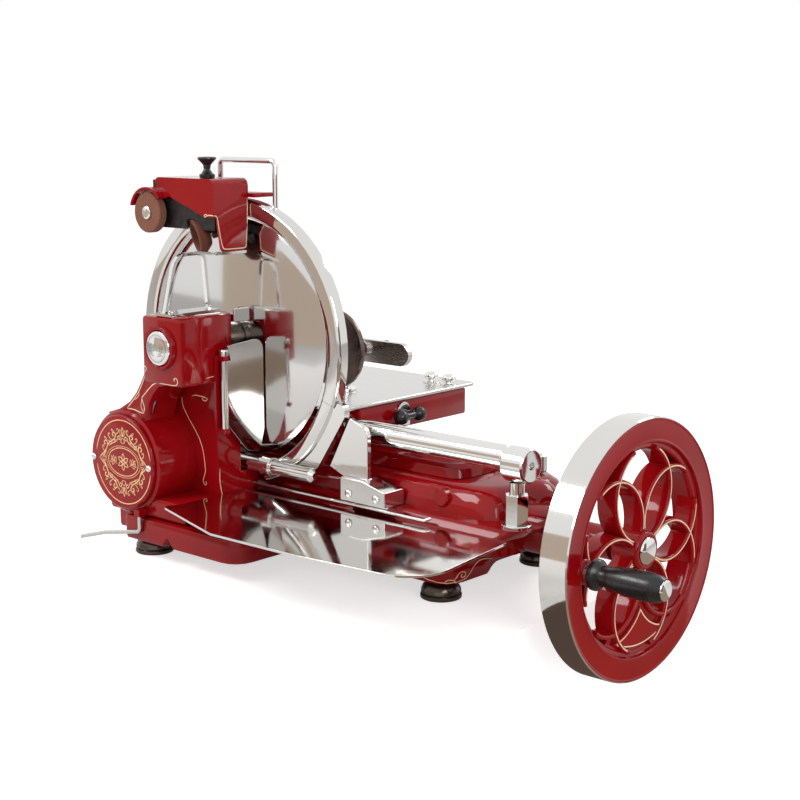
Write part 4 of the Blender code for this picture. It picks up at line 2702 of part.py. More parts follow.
CARRIER = {"left_x": -0.0760, "right_x": 0.0240, "front_y": -0.0555, "back_y": -0.0150, "low_z": 0.3620}
carrier = to_object(
    "sharpener_carrier",
    box(
        (CARRIER["left_x"], CARRIER["front_y"], CARRIER["low_z"]),
        (CARRIER["right_x"], CARRIER["back_y"], HOOD["top_z"] - HOOD["wall"] - SEAT_GAP),
    ),
    "blackened_steel",
    sharpener_axis,
)
carrier_room = helper(
    "sharpener_carrier_room",
    along_stone(
        rod(
            STONE["two_radius"] + BLADE_GAP,
            -OVERRUN,
            STONE["lug_start"] - SEAT_GAP * 2.0,
            "Z",
            (0.0, 0.0, 0.0),
            ROUND_SIDES,
        )
    ),
)
carrier_lug = helper(
    "sharpener_carrier_lug",
    along_stone(
        rod(
            STONE["lug_radius"],
            STONE["lug_start"],
            STONE["lug_end"],
            "Z",
            (0.0, 0.0, 0.0),
            SMALL_SIDES,
        )
    ),
)
cut(carrier, carrier_room)
unite(carrier, carrier_lug)

stone_one_axis = axis_empty("stone_one_axis", (STONE["one_x"], STONE["one_front_y"], STONE["one_z"]))
stone_two_axis = axis_empty("stone_two_axis", stone_face)
stone_one_centre = (STONE["one_x"], 0.0, STONE["one_z"])
to_object(
    "stone_one",
    turned(
        [
            (STONE["bore"], STONE["one_front_y"]),
            (STONE["one_radius"] - BLADE_GAP, STONE["one_front_y"]),
            (STONE["one_radius"], STONE["one_front_y"] + BLADE_GAP),
            (STONE["one_radius"], STONE["one_back_y"]),
            (STONE["bore"], STONE["one_back_y"]),
        ],
        "Y",
        stone_one_centre,
        FINE_SIDES,
        ring=True,
    ),
    "brown_stone",
    stone_one_axis,
)
spindle_face = STONE["one_front_y"] - SEAT_GAP
to_object(
    "stone_one_spindle",
    turned(
        [
            (0.0, CARRIER["front_y"] - SEAT_GAP),
            (STONE["shank"], CARRIER["front_y"] - SEAT_GAP),
            (STONE["shank"], spindle_face),
            (STONE["screw_radius"], spindle_face),
            (STONE["screw_radius"], spindle_face - STONE["screw_height"] * 0.5),
            (STONE["screw_radius"] * 0.75, spindle_face - STONE["screw_height"]),
            (0.0, spindle_face - STONE["screw_height"]),
        ],
        "Y",
        stone_one_centre,
        SMALL_SIDES,
    ),
    "chrome",
    stone_one_axis,
)
to_object(
    "stone_two",
    along_stone(
        turned(
            [
                (STONE["bore"], STONE["two_hollow"]),
                (STONE["two_rim"] - BLADE_GAP * 2.0, STONE["two_hollow"]),
                (STONE["two_rim"], 0.0),
                (STONE["two_radius"] - BLADE_GAP, 0.0),
                (STONE["two_radius"], BLADE_GAP),
                (STONE["two_radius"] - BLADE_GAP, STONE["two_hollow"]),
                (STONE["two_back_radius"], STONE["two_depth"]),
                (STONE["bore"], STONE["two_depth"]),
            ],
            "Z",
            (0.0, 0.0, 0.0),
            FINE_SIDES,
            ring=True,
        )
    ),
    "dark_stone",
    stone_two_axis,
)
two_seat = STONE["two_hollow"] - SEAT_GAP
to_object(
    "stone_two_spindle",
    along_stone(
        turned(
            [
                (0.0, two_seat - STONE["screw_height"]),
                (STONE["screw_radius"] * 0.55, two_seat - STONE["screw_height"]),
                (STONE["screw_radius"] * 0.75, two_seat - STONE["screw_height"] * 0.5),
                (STONE["screw_radius"] * 0.75, two_seat),
                (STONE["shank"], two_seat),
                (STONE["shank"], STONE["lug_start"] - SEAT_GAP),
                (0.0, STONE["lug_start"] - SEAT_GAP),
            ],
            "Z",
            (0.0, 0.0, 0.0),
            SMALL_SIDES,
        )
    ),
    "chrome",
    stone_two_axis,
)

# Push knob on the hood, and the bent guide rod that runs in the ring guard's lug

PUSH = {"x": 0.0020, "y": -0.0450, "height": 0.0225, "radius": 0.0102, "waist": 0.0036}
push_axis = axis_empty("push_knob_axis", (PUSH["x"], PUSH["y"], HOOD["top_z"]))
push_rise_shares = (
    (0.00, 0.80),
    (0.16, 0.84),
    (0.24, 0.56),
    (0.42, 0.35),
    (0.62, 0.42),
    (0.80, 0.78),
    (0.90, 1.00),
    (0.97, 0.98),
    (1.00, 0.80),
)
push_profile = [(0.0, HOOD["top_z"] + SEAT_GAP)]
for rise, reach in push_rise_shares:
    push_profile.append((PUSH["radius"] * reach, HOOD["top_z"] + SEAT_GAP + PUSH["height"] * rise))
push_profile.append((0.0, HOOD["top_z"] + SEAT_GAP + PUSH["height"]))
to_object(
    "push_knob",
    turned(push_profile, "Z", (PUSH["x"], PUSH["y"], 0.0), ROUND_SIDES),
    "black_resin",
    push_axis,
)
guide_path = bent(
    [
        (GUIDE["left_x"], GUIDE["y"], HOOD["ledge_top_z"] + SEAT_GAP),
        (GUIDE["left_x"], GUIDE["y"], GUIDE["top_z"]),
        (GUIDE["right_x"], GUIDE["y"], GUIDE["top_z"]),
        (GUIDE["right_x"], GUIDE["y"], GUIDE["low_z"]),
    ],
    GUIDE["bend"],
)
to_object(
    "sharpener_guide_rod",
    swept(guide_path, GUIDE["radius"], SMALL_SIDES),
    "chrome",
    sharpener_axis,
)
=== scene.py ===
import json
import math

import bmesh
import bpy
import numpy as np
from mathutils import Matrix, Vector
from mathutils.bvhtree import BVHTree


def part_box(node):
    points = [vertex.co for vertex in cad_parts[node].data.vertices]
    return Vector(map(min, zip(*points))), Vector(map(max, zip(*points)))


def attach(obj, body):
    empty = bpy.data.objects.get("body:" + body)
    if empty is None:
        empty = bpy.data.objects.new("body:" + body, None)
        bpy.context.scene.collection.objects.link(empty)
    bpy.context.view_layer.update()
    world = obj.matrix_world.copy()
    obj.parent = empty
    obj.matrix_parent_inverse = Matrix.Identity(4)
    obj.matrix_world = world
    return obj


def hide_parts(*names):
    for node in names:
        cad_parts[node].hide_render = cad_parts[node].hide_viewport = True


# Hand crank meat slicer: its finishes, ornament and fine pieces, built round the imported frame

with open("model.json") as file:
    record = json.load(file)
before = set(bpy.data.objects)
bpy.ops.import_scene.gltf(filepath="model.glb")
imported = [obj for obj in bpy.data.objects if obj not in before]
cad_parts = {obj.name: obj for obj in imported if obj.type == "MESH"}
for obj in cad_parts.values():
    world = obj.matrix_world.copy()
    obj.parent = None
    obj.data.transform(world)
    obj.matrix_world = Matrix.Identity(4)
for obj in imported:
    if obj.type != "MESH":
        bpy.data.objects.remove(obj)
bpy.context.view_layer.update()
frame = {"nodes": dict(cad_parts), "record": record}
nodes = frame["nodes"]
bodyOf = {}
for bodyName, members in frame["record"]["behaviour"]["bodies"].items():
    for member in members:
        bodyOf[member] = bodyName
mm = 0.001
turn = 2.0 * math.pi
print("frame loaded:", len(nodes), "nodes")


# Camera at the photograph's viewing angle, set first because every piece is judged through it

cameraSet = {
    "place": (1.2845, -1.1804, 0.4913),
    "azimuth": 41.53,  # degrees to the right of straight ahead
    "elevation": 10.56,  # degrees above level
    "lens": 70.51,  # on a 36 mm sensor
}
cameraData = bpy.data.cameras.new("productCamera")
cameraData.lens = cameraSet["lens"]
cameraData.sensor_width = 36.0
cameraData.clip_start = 0.05
cameraData.clip_end = 30.0
camera = bpy.data.objects.new("productCamera", cameraData)
bpy.context.scene.collection.objects.link(camera)
azimuth, elevation = (math.radians(cameraSet[k]) for k in ("azimuth", "elevation"))
back = Vector(
    (math.sin(azimuth) * math.cos(elevation), -math.cos(azimuth) * math.cos(elevation), math.sin(elevation))
)
camera.location = cameraSet["place"]
camera.rotation_mode = "QUATERNION"
camera.rotation_quaternion = (-back).to_track_quat("-Z", "Y")
bpy.context.scene.camera = camera
print("camera placed")


# Mesh making: a surface is a grid of points, worked out as whole arrays


def linear(hexColour):  # sRGB hex to linear light: the standard curve with its straight foot
    values = [int(hexColour[i:i + 2], 16) / 255.0 for i in (1, 3, 5)]
    return tuple(v / 12.92 if v <= 0.04045 else ((v + 0.055) / 1.055) ** 2.4 for v in values) + (1.0,)


def gridFaces(rows, columns, closedRows, closedColumns):  # quads between neighbours of a rows x columns grid
    r = np.arange(rows if closedRows else rows - 1)
    c = np.arange(columns if closedColumns else columns - 1)
    r, c = (a.ravel() for a in np.meshgrid(r, c, indexing="ij"))
    r2, c2 = (r + 1) % rows, (c + 1) % columns
    return np.stack([r * columns + c, r * columns + c2, r2 * columns + c2, r2 * columns + c], axis=1)


def makePiece(name, parts, material, body, replaced=(), smoothAngle=40.0, bevel=0.0):
    # one or more (points, faces) go into a mesh, with doubles merged, faces outwards and creases marked
    points, faces, start = [], [], 0
    for partPoints, partFaces in parts:
        partPoints = np.asarray(partPoints, float).reshape(-1, 3)
        points.append(partPoints)
        faces += [[int(i) + start for i in face] for face in partFaces]
        start += len(partPoints)
    mesh = bpy.data.meshes.new(name)
    mesh.from_pydata(np.concatenate(points), [], faces)
    finishMesh(mesh, smoothAngle)
    piece = bpy.data.objects.new(name, mesh)
    bpy.context.scene.collection.objects.link(piece)
    mesh.materials.append(materials[material])
    if bevel > 0.0:
        roundEdges(piece, bevel)
    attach(piece, body)
    if replaced:
        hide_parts(*replaced)
    return piece


def finishMesh(mesh, smoothAngle):  # doubles merged, normals outwards, edges sharper than the angle marked
    work = bmesh.new()
    work.from_mesh(mesh)
    bmesh.ops.remove_doubles(work, verts=work.verts, dist=0.004 * mm)
    bmesh.ops.dissolve_degenerate(work, dist=0.002 * mm, edges=work.edges)
    bmesh.ops.recalc_face_normals(work, faces=work.faces)
    limit = math.radians(smoothAngle)
    for face in work.faces:
        face.smooth = True
    for edge in work.edges:
        edge.smooth = len(edge.link_faces) == 2 and edge.calc_face_angle(0.0) < limit
    work.to_mesh(mesh)
    work.free()
    mesh.update()


def roundEdges(
    piece, width, segments=2, angle=32.0
):  # a small bevel that catches the light, as on the real casting
    rounding = piece.modifiers.new("roundedEdges", "BEVEL")
    rounding.width = width
    rounding.segments = segments
    rounding.limit_method = "ANGLE"
    rounding.angle_limit = math.radians(angle)
    rounding.harden_normals = True
    rounding.use_clamp_overlap = True


def dressNode(node, material, bevel=0.25 * mm, smoothAngle=35.0):
    # a merged copy of a CAD node's triangles, joined into flat faces, with smooth shading and rounded edges
    source = nodes[node].data
    work = bmesh.new()
    work.from_mesh(source)
    bmesh.ops.remove_doubles(work, verts=work.verts, dist=0.004 * mm)
    bmesh.ops.dissolve_limit(
        work, angle_limit=math.radians(0.4), verts=work.verts, edges=work.edges, delimit={"NORMAL"}
    )
    mesh = bpy.data.meshes.new(node + "_dressed")
    work.to_mesh(mesh)
    work.free()
    finishMesh(mesh, smoothAngle)
    piece = bpy.data.objects.new(node + "_dressed", mesh)
    bpy.context.scene.collection.objects.link(piece)
    mesh.materials.append(materials[material])
    if bevel > 0.0:
        roundEdges(piece, bevel)
    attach(piece, bodyOf[node])
    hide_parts(node)
    return piece


axisFrames = {
    "X": ((0.0, 1.0, 0.0), (0.0, 0.0, 1.0), (1.0, 0.0, 0.0)),
    "Y": ((0.0, 0.0, 1.0), (1.0, 0.0, 0.0), (0.0, 1.0, 0.0)),
    "Z": ((1.0, 0.0, 0.0), (0.0, 1.0, 0.0), (0.0, 0.0, 1.0)),
}


def turnedSurface(profile, centre, axis, sides=96, closed=False):
    # a lathe form: point = centre + radius (cos a, sin a) across the axis + height along it, a a full turn
    u, v, w = (np.array(d) for d in (axisFrames[axis] if isinstance(axis, str) else axis))
    profile = np.asarray(profile, float)
    a = np.arange(sides) * turn / sides
    ring = np.cos(a)[:, None] * u + np.sin(a)[:, None] * v
    points = np.asarray(centre) + profile[:, None, 0:1] * ring[None] + profile[:, None, 1:2] * w
    faces = gridFaces(len(profile), sides, closed, True)
    return points.reshape(-1, 3), faces


def softProfile(corners, steps=4):
    # each (radius, height, fillet) corner becomes a short arc, blended between its two tangent points
    corners = [tuple(c) + (0.0,) * (3 - len(c)) for c in corners]
    out = []
    for i, (r, h, fillet) in enumerate(corners):
        if fillet <= 0.0 or i in (0, len(corners) - 1):
            out.append((r, h))
            continue
        here = np.array((r, h))
        before, after = (np.array(corners[j][:2]) - here for j in (i - 1, i + 1))
        lengths = np.linalg.norm(before), np.linalg.norm(after)
        cut = min(fillet, lengths[0] * 0.48, lengths[1] * 0.48)
        start, end = here + before / lengths[0] * cut, here + after / lengths[1] * cut
        t = np.linspace(0.0, 1.0, steps + 1)[:, None]
        curve = (1 - t) ** 2 * start + 2 * t * (1 - t) * here + t ** 2 * end
        out += [tuple(p) for p in curve]
    return out


def sweptSurface(path, section, upHint=(0.0, 0.0, 1.0), closedPath=False, caps=True):
    # a profile carried along a path: point = path + s u + t v, v square to the path and nearest the hint
    path = np.asarray(path, float)
    section = np.asarray(section, float)
    if closedPath:
        along = np.roll(path, -1, 0) - np.roll(path, 1, 0)
    else:
        along = np.gradient(path, axis=0)
    along /= np.linalg.norm(along, axis=1, keepdims=True)
    hint = np.broadcast_to(np.asarray(upHint, float), path.shape)
    u = np.cross(along, hint)
    u /= np.linalg.norm(u, axis=1, keepdims=True)
    v = np.cross(u, along)
    if section.ndim == 2:
        section = np.broadcast_to(section, (len(path),) + section.shape)
    points = path[:, None] + section[..., 0:1] * u[:, None] + section[..., 1:2] * v[:, None]
    count = section.shape[1]
    faces = [list(f) for f in gridFaces(len(path), count, closedPath, True)]
    if caps and not closedPath:
        faces += [list(range(count))[::-1], list(range((len(path) - 1) * count, len(path) * count))]
    return points.reshape(-1, 3), faces


def smoothPath(points, steps=12, closed=False):
    # a Catmull-Rom curve: each span is the cubic that passes its two ends with the slope of their neighbours
    p = np.asarray(points, float)
    if closed:
        p = np.concatenate([p[-1:], p, p[:2]])
    else:
        p = np.concatenate([2 * p[:1] - p[1:2], p, 2 * p[-1:] - p[-2:-1]])
    t = np.linspace(0.0, 1.0, steps, endpoint=False)[None, :, None]
    a, b, c, d = (p[i:len(p) - 3 + i, None] for i in range(4))
    curve = 0.5 * (
        2 * b + (c - a) * t + (2 * a - 5 * b + 4 * c - d) * t ** 2 + (3 * b - a - 3 * c + d) * t ** 3
    )
    curve = curve.reshape(-1, p.shape[1])
    return curve if closed else np.concatenate([curve, p[-2:-1]])


def paintLine(path, normal, width, height=0.12 * mm, closed=False):
    # a hand-painted line: a low half-round section carried along a path that lies on a surface
    half = width / 2.0
    section = [
        (-half, -height), (-half, 0.0), (-half * 0.55, height), (half * 0.55, height), (half, 0.0),
        (half, -height)
    ]
    return sweptSurface(path, section, normal, closed)


# Materials, each named for the real one and how its surface was made

materials = {}


def addNode(
    tree, kind, settings=None, links=None
):  # adds one node, sets its properties or sockets, and links it
    node = tree.nodes.new(kind)
    for key, value in (settings or {}).items():
        if isinstance(key, str) and hasattr(node, key):
            setattr(node, key, value)
        else:
            node.inputs[key].default_value = value
    for key, source in (links or {}).items():
        tree.links.new(source, node.inputs[key])
    return node


def startMaterial(name, roughness, metallic, colour):
    material = bpy.data.materials.new(name)
    material.use_nodes = True
    tree = material.node_tree
    shader = tree.nodes["Principled BSDF"]
    shader.inputs["Base Color"].default_value = linear(colour)
    shader.inputs["Roughness"].default_value = roughness
    shader.inputs["Metallic"].default_value = metallic
    materials[name] = material
    coordinates = addNode(tree, "ShaderNodeTexCoord").outputs["Object"]
    return tree, shader, coordinates


def grain(
    tree, coordinates, size, detail=2.0, stretch=(1.0, 1.0, 1.0)
):  # noise whose blotches are about size metres
    placed = addNode(tree, "ShaderNodeMapping", {"Scale": stretch}, {"Vector": coordinates})
    return addNode(
        tree, "ShaderNodeTexNoise", {
            "Scale": 1.0 / size, "Detail": detail
        }, {"Vector": placed.outputs["Vector"]}
    ).outputs["Fac"]


def varied(
    tree, shader, socket, factor, low, high
):  # a socket that follows a noise between two values or colours
    if isinstance(low, str):
        ramp = addNode(tree, "ShaderNodeValToRGB", {}, {"Fac": factor})
        ramp.color_ramp.elements[0].position, ramp.color_ramp.elements[1].position = 0.32, 0.68
        ramp.color_ramp.elements[0].color, ramp.color_ramp.elements[1].color = linear(low), linear(high)
        tree.links.new(ramp.outputs["Color"], shader.inputs[socket])
    else:
        spread = addNode(
            tree,
            "ShaderNodeMapRange",
            {"From Min": 0.3, "From Max": 0.7, "To Min": low, "To Max": high},
            {"Value": factor},
        )
        tree.links.new(spread.outputs["Result"], shader.inputs[socket])


def raised(tree, shader, height, distance, strength=1.0):  # bump with its real height in metres
    bump = addNode(tree, "ShaderNodeBump", {"Distance": distance, "Strength": strength}, {"Height": height})
    tree.links.new(bump.outputs["Normal"], shader.inputs["Normal"])


ringScale = 0.314  # rings lie this many metres apart at a scale of 1


def ringsAbout(
    tree, coordinates, centre, axis, spacing
):  # turning marks: fine rings about an axis, spacing in metres
    placed = addNode(
        tree, "ShaderNodeMapping", {"Location": tuple(-c for c in centre)}, {"Vector": coordinates}
    )
    return addNode(
        tree,
        "ShaderNodeTexWave",
        {
            "wave_type": "RINGS",
            "rings_direction": axis,
            "Scale": ringScale / spacing,
            "Distortion": 0.6,
            "Detail": 2.0,
            "Detail Scale": 2.0,
        },
        {"Vector": placed.outputs["Vector"]},
    ).outputs["Fac"]


# Stoved enamel on castings: deep red, flowed out to a gloss, with faint orange peel 5 mm across
tree, shader, at = startMaterial("stovedEnamelRed", 0.09, 0.0, "#93080F")
varied(tree, shader, "Base Color", grain(tree, at, 70 * mm), "#8C070D", "#9B0A12")
raised(tree, shader, grain(tree, at, 6 * mm, 1.0), 0.02 * mm)
shader.inputs["Specular IOR Level"].default_value = 0.26
shader.inputs["Coat Weight"].default_value = 0.12
shader.inputs["Coat Roughness"].default_value = 0.03

# Stainless sheet, buffed to a mirror: almost no grain, only faint soft marks
tree, shader, at = startMaterial("polishedStainless", 0.07, 1.0, "#DAD8D5")
varied(tree, shader, "Roughness", grain(tree, at, 25 * mm), 0.05, 0.09)
raised(tree, shader, grain(tree, at, 0.8 * mm, 3.0, (0.08, 1.0, 1.0)), 0.0015 * mm)

# Blade steel, ground in rings round its middle and then polished: fine turning marks 1 mm apart
tree, shader, at = startMaterial("groundBladeSteel", 0.08, 1.0, "#D6D4D2")
rings = ringsAbout(tree, at, (0.0, 0.0, 0.240), "Y", 1.0 * mm)
varied(tree, shader, "Roughness", rings, 0.06, 0.12)
raised(tree, shader, rings, 0.001 * mm)

# Stainless with a satin brush: lines 0.3 mm apart along X, drawn this coarse to show at all
tree, shader, at = startMaterial("satinStainless", 0.24, 1.0, "#CFCDC9")
brush = grain(tree, at, 0.5 * mm, 3.0, (0.02, 1.0, 1.0))
varied(tree, shader, "Roughness", brush, 0.18, 0.30)
raised(tree, shader, brush, 0.004 * mm)

# Tyre steel, turned on a lathe and polished: faint rings round the wheel's axle 0.8 mm apart
tree, shader, at = startMaterial("turnedTyreSteel", 0.07, 1.0, "#DDDBD8")
rings = grain(tree, at, 0.8 * mm, 2.0, (1.0, 0.02, 0.02))
varied(tree, shader, "Roughness", rings, 0.05, 0.10)
raised(tree, shader, rings, 0.001 * mm)

# Bright chrome plate over steel: a mirror with a faint warm ripple
tree, shader, at = startMaterial("brightChrome", 0.04, 1.0, "#E4E3E1")
varied(tree, shader, "Roughness", grain(tree, at, 12 * mm), 0.03, 0.06)
raised(tree, shader, grain(tree, at, 6 * mm, 1.0), 0.006 * mm)

# Dark nickel on the press disc: a brown-grey polish, slightly clouded by wear
tree, shader, at = startMaterial("darkNickelPolish", 0.20, 1.0, "#6B5D57")
varied(tree, shader, "Base Color", grain(tree, at, 18 * mm, 3.0), "#5C4F4A", "#7D6D65")
varied(tree, shader, "Roughness", grain(tree, at, 9 * mm, 3.0), 0.14, 0.28)

# Blackened steel: oxide skin, slightly mottled, dull sheen
tree, shader, at = startMaterial("blackenedSteel", 0.38, 0.85, "#3A3838")
varied(tree, shader, "Base Color", grain(tree, at, 6 * mm, 4.0), "#343232", "#464343")
varied(tree, shader, "Roughness", grain(tree, at, 2 * mm, 4.0), 0.30, 0.46)

# Bronzed steel of the feet and inner hub: dark plate with a brown cast
tree, shader, at = startMaterial("bronzedSteel", 0.22, 0.95, "#5B524C")
varied(tree, shader, "Roughness", grain(tree, at, 3 * mm, 3.0), 0.16, 0.28)
raised(tree, shader, grain(tree, at, 0.6 * mm), 0.004 * mm)

# Machined steel of the hidden drive: turned, oiled, mid grey
tree, shader, at = startMaterial("machinedSteel", 0.32, 1.0, "#9C9A97")
varied(tree, shader, "Roughness", grain(tree, at, 0.7 * mm, 3.0), 0.24, 0.40)

# Black phenolic resin, moulded and buffed: near black with a soft sheen
tree, shader, at = startMaterial("mouldedResinBlack", 0.26, 0.0, "#1B1B1C")
varied(tree, shader, "Roughness", grain(tree, at, 4 * mm, 3.0), 0.20, 0.34)
raised(tree, shader, grain(tree, at, 0.5 * mm), 0.008 * mm)

# Moulded rubber tread: matt black, a little dusty
tree, shader, at = startMaterial("mouldedRubber", 0.72, 0.0, "#191817")
varied(tree, shader, "Base Color", grain(tree, at, 3 * mm, 3.0), "#161514", "#23211F")

# Bonded abrasive: brown grit about 0.4 mm across, rough and matt
tree, shader, at = startMaterial("bondedAbrasiveBrown", 0.88, 0.0, "#7C4A38")
grit = grain(tree, at, 0.7 * mm, 4.0)
varied(tree, shader, "Base Color", grit, "#6A3B2C", "#91604A")
raised(tree, shader, grit, 0.12 * mm)

tree, shader, at = startMaterial("bondedAbrasiveRed", 0.85, 0.0, "#64301F")
grit = grain(tree, at, 0.6 * mm, 4.0)
varied(tree, shader, "Base Color", grit, "#552619", "#7A4331")
raised(tree, shader, grit, 0.10 * mm)

# Lining paint, brushed on by hand over the enamel: gold on the cover, cream on the castings
tree, shader, at = startMaterial("goldLiningPaint", 0.34, 0.0, "#E2B673")
varied(tree, shader, "Base Color", grain(tree, at, 5 * mm, 3.0), "#E9C083", "#F6D9A4")
tree, shader, at = startMaterial("creamLiningPaint", 0.34, 0.0, "#E7B98A")
varied(tree, shader, "Base Color", grain(tree, at, 6 * mm, 3.0), "#EFC7A0", "#F8DDBE")

# Engraved lines filled with grey wax on the polished badge and cap
tree, shader, at = startMaterial("engravingInk", 0.45, 0.3, "#5E5A58")
varied(tree, shader, "Base Color", grain(tree, at, 2 * mm), "#4F4B4A", "#6B6664")
print("materials made:", len(materials))


# Every node takes the finish of its slot first; pieces made below replace the ones that need more

dressing = {
    "stovedEnamelRed": [
        ("base_casting", 1.6), ("gear_case_lid", 0.8), ("column_casting", 1.4), ("axle_cap_ring", 0.5),
        ("drive_cover", 0.6), ("axle_housing", 0.6), ("carriage", 0.8), ("sharpener_hood", 0.8),
    ],
    "polishedStainless": [
        ("ring_guard_upper", 0.5), ("ring_guard_lower", 0.5), ("guard_bar", 0.3), ("foot_plate", 0.8),
        ("deflector", 0.3), ("slice_tray", 0.4), ("tray_strip", 0.3),
    ],
    "groundBladeSteel": [("blade", 0.2)],
    "satinStainless": [("rear_rail", 0.4), ("meat_table", 0.5), ("lift_lever", 0.0), ("press_arm", 0.8)],
    "brightChrome": [
        ("arch_bracket", 0.4), ("arch_screw", 0.1), ("axle_cap", 0.2), ("cover_screw_left", 0.1),
        ("cover_screw_right", 0.1), ("crank_pin", 0.3), ("deflector_pin", 0.2),
        ("feed_plate", 0.3), ("flywheel_hub_cap", 0.2), ("foot_plate_screw_left", 0.1),
        ("foot_plate_screw_right", 0.1), ("guard_bar_clamp", 0.4), ("guide_end_block", 0.6),
        ("guide_pillar", 0.4), ("guide_tube", 0.5), ("hub_bracket", 0.5), ("press_post", 0.4),
        ("sharpener_guide_rod", 0.0), ("stone_one_spindle", 0.2), ("stone_two_spindle", 0.2),
    ],
    "blackenedSteel": [("sharpener_carrier", 0.6), ("tray_runner", 0.6)],
    "darkNickelPolish": [("press_disc", 0.3)],
    "bronzedSteel": [
        ("blade_shaft", 0.4), ("foot_front_left", 0.3), ("foot_front_right", 0.3), ("foot_back_left", 0.3),
        ("foot_back_right", 0.3),
    ],
    "machinedSteel": [("cross_shaft", 0.2), ("drive_rod", 0.2), ("flywheel_shaft", 0.2)],
    "mouldedResinBlack": [
        ("feed_lever", 0.2), ("push_knob", 0.2), ("crank_grip", 0.2),
    ],
    "bondedAbrasiveBrown": [("stone_one", 0.4)],
    "bondedAbrasiveRed": [("stone_two", 0.4)],
}
madeBelow = {"flywheel", "table_knob_left", "table_knob_right", "deflector_bracket"}
for material, members in dressing.items():
    for node, width in members:
        if node not in madeBelow:
            dressNode(node, material, width * mm)
dressNode("deflector_bracket", "stovedEnamelRed", 0.3 * mm)  # kept out of the loop, which gives each node its own slot's finish
print("CAD nodes dressed")


# Flywheel: one red casting of rim, curved ribs, fan and hub, with a polished steel tyre round it

wheel = {
    "faceX": 0.4900,
    "y": 0.0750,
    "z": 0.0695,
    "radius": 131.0 * mm,
    "width": 31.0 * mm,
    "rimInner": 99.0 * mm,
    "lip": 106.0 * mm,
    "ribStart": 10.0 * mm,
    "crossing": 86.5 * mm,
    "ribBulge": 19.5 * mm,
    "ribTop": -1.5 * mm,
    "ribBack": -22.5 * mm,
    "webFront": -6.0 * mm,
    "fanFront": -3.0 * mm,
    "fanInset": 8.5 * mm,
    "fanLow": 97.6 * mm,
    "hub": 19.5 * mm,
    "hubFront": 3.0 * mm,
    "hubBack": -30.0 * mm,
    "crank": 98.0 * mm,
    "lineWidth": 1.35 * mm,
    "petals": (0.0, 60.0, 120.0, 180.0, 240.0, 300.0),  # degrees round the hub
    "fan": 270.0,
}
halfChord = (wheel["crossing"] - wheel["ribStart"]) / 2.0
ribRadius = (halfChord ** 2 + wheel["ribBulge"] ** 2) / (2.0 * wheel["ribBulge"])
ribCentre = ((wheel["crossing"] + wheel["ribStart"]) / 2.0, wheel["ribBulge"] - ribRadius)
ribCentreReach = math.hypot(*ribCentre)
wheelCentre = (wheel["faceX"], wheel["y"], wheel["z"])


def onWheel(
    reach, angle, height
):  # polar place on the wheel's face: reach from the hub, angle from +Y towards +Z
    reach, angle, height = np.broadcast_arrays(reach, angle, height)
    return np.stack(
        [
            wheel["faceX"] + height,
            wheel["y"] + reach * np.cos(angle),
            wheel["z"] + reach * np.sin(angle),
        ],
        axis=-1,
    )


def ribOffset(reach, radius):  # angle from the petal's axis to its rib, by the cosine rule
    cosine = (reach ** 2 + ribCentreReach ** 2 - radius ** 2) / (2.0 * reach * ribCentreReach)
    return math.atan2(ribCentre[1], ribCentre[0]) + np.arccos(np.clip(cosine, -1.0, 1.0))


def ribPath(petal, side, fromReach, toReach, height, steps=56):
    # the arc of the rib's circle: reach runs evenly from one end to the other and the angle follows ribOffset
    reach = np.linspace(fromReach, toReach, steps)
    return onWheel(reach, math.radians(petal) + side * ribOffset(reach, ribRadius), height)


def closedSheet(front, back):  # two grids of one size, joined round their borders into a closed body
    rows, columns = front.shape[:2]
    faces = gridFaces(rows, columns, False, False)
    index = np.arange(rows * columns).reshape(rows, columns)
    border = np.concatenate([index[0, :-1], index[:-1, -1], index[-1, :0:-1], index[:0:-1, 0]])
    after = np.roll(border, -1)
    count = rows * columns
    walls = np.stack([border, border + count, after + count, after], axis=1)
    points = np.concatenate([front.reshape(-1, 3), back.reshape(-1, 3)])
    return points, np.concatenate([faces, faces[:, ::-1] + count, walls])


ribSection = np.array(
    [(-3.5, -22.5), (-2.9, -6.0), (-2.5, -3.8), (-2.0, -2.4), (-1.4, -1.75), (-0.7, -1.5),
     (0.7, -1.5), (1.4, -1.75), (2.0, -2.4), (2.5, -3.8), (2.9, -6.0), (3.5, -22.5)]
) * mm  # tapered flanks and a round crown
castingParts = []
for petal in wheel["petals"]:
    for side in (1.0, -1.0):
        path = ribPath(petal, side, 12.0 * mm, 101.0 * mm, 0.0)
        castingParts.append(sweptSurface(path, ribSection, (1.0, 0.0, 0.0)))

rimProfile = softProfile(
    [(99.0, -16.0), (99.0, -31.0, 1.2), (130.4, -31.0, 0.6), (130.4, -0.5, 0.3), (129.4, -0.1, 0.3),
     (128.4, -0.1, 0.4), (127.7, -0.7, 0.4), (109.0, -0.7, 0.5), (108.2, 0.0, 0.5), (106.6, 0.0, 0.8),
     (105.6, -4.5, 1.0), (101.0, -5.0, 1.2), (99.0, -7.5, 1.4), (99.0, -15.9)],
    3,
)
castingParts.append(turnedSurface(np.array(rimProfile) * mm, wheelCentre, "X", 192, True))
hubProfile = softProfile(
    [(0.0, -30.0), (16.0, -30.0, 1.0), (19.0, -26.0, 2.0), (19.5, 0.2, 0.5), (18.6, 2.2, 1.2),
     (16.8, 3.0, 0.8),
     (15.2, 3.0, 0.4), (14.6, 2.4, 0.4), (0.0, 2.4)]
)
castingParts.append(turnedSurface(np.array(hubProfile) * mm, wheelCentre, "X", 72))
bossProfile = softProfile(
    [(0.0, -22.5), (12.2, -22.5, 1.0), (13.0, -2.5, 1.0), (11.2, -0.2, 1.0), (0.0, -0.2)]
)
bossCentre = (wheel["faceX"], wheel["y"] - wheel["crank"], wheel["z"])
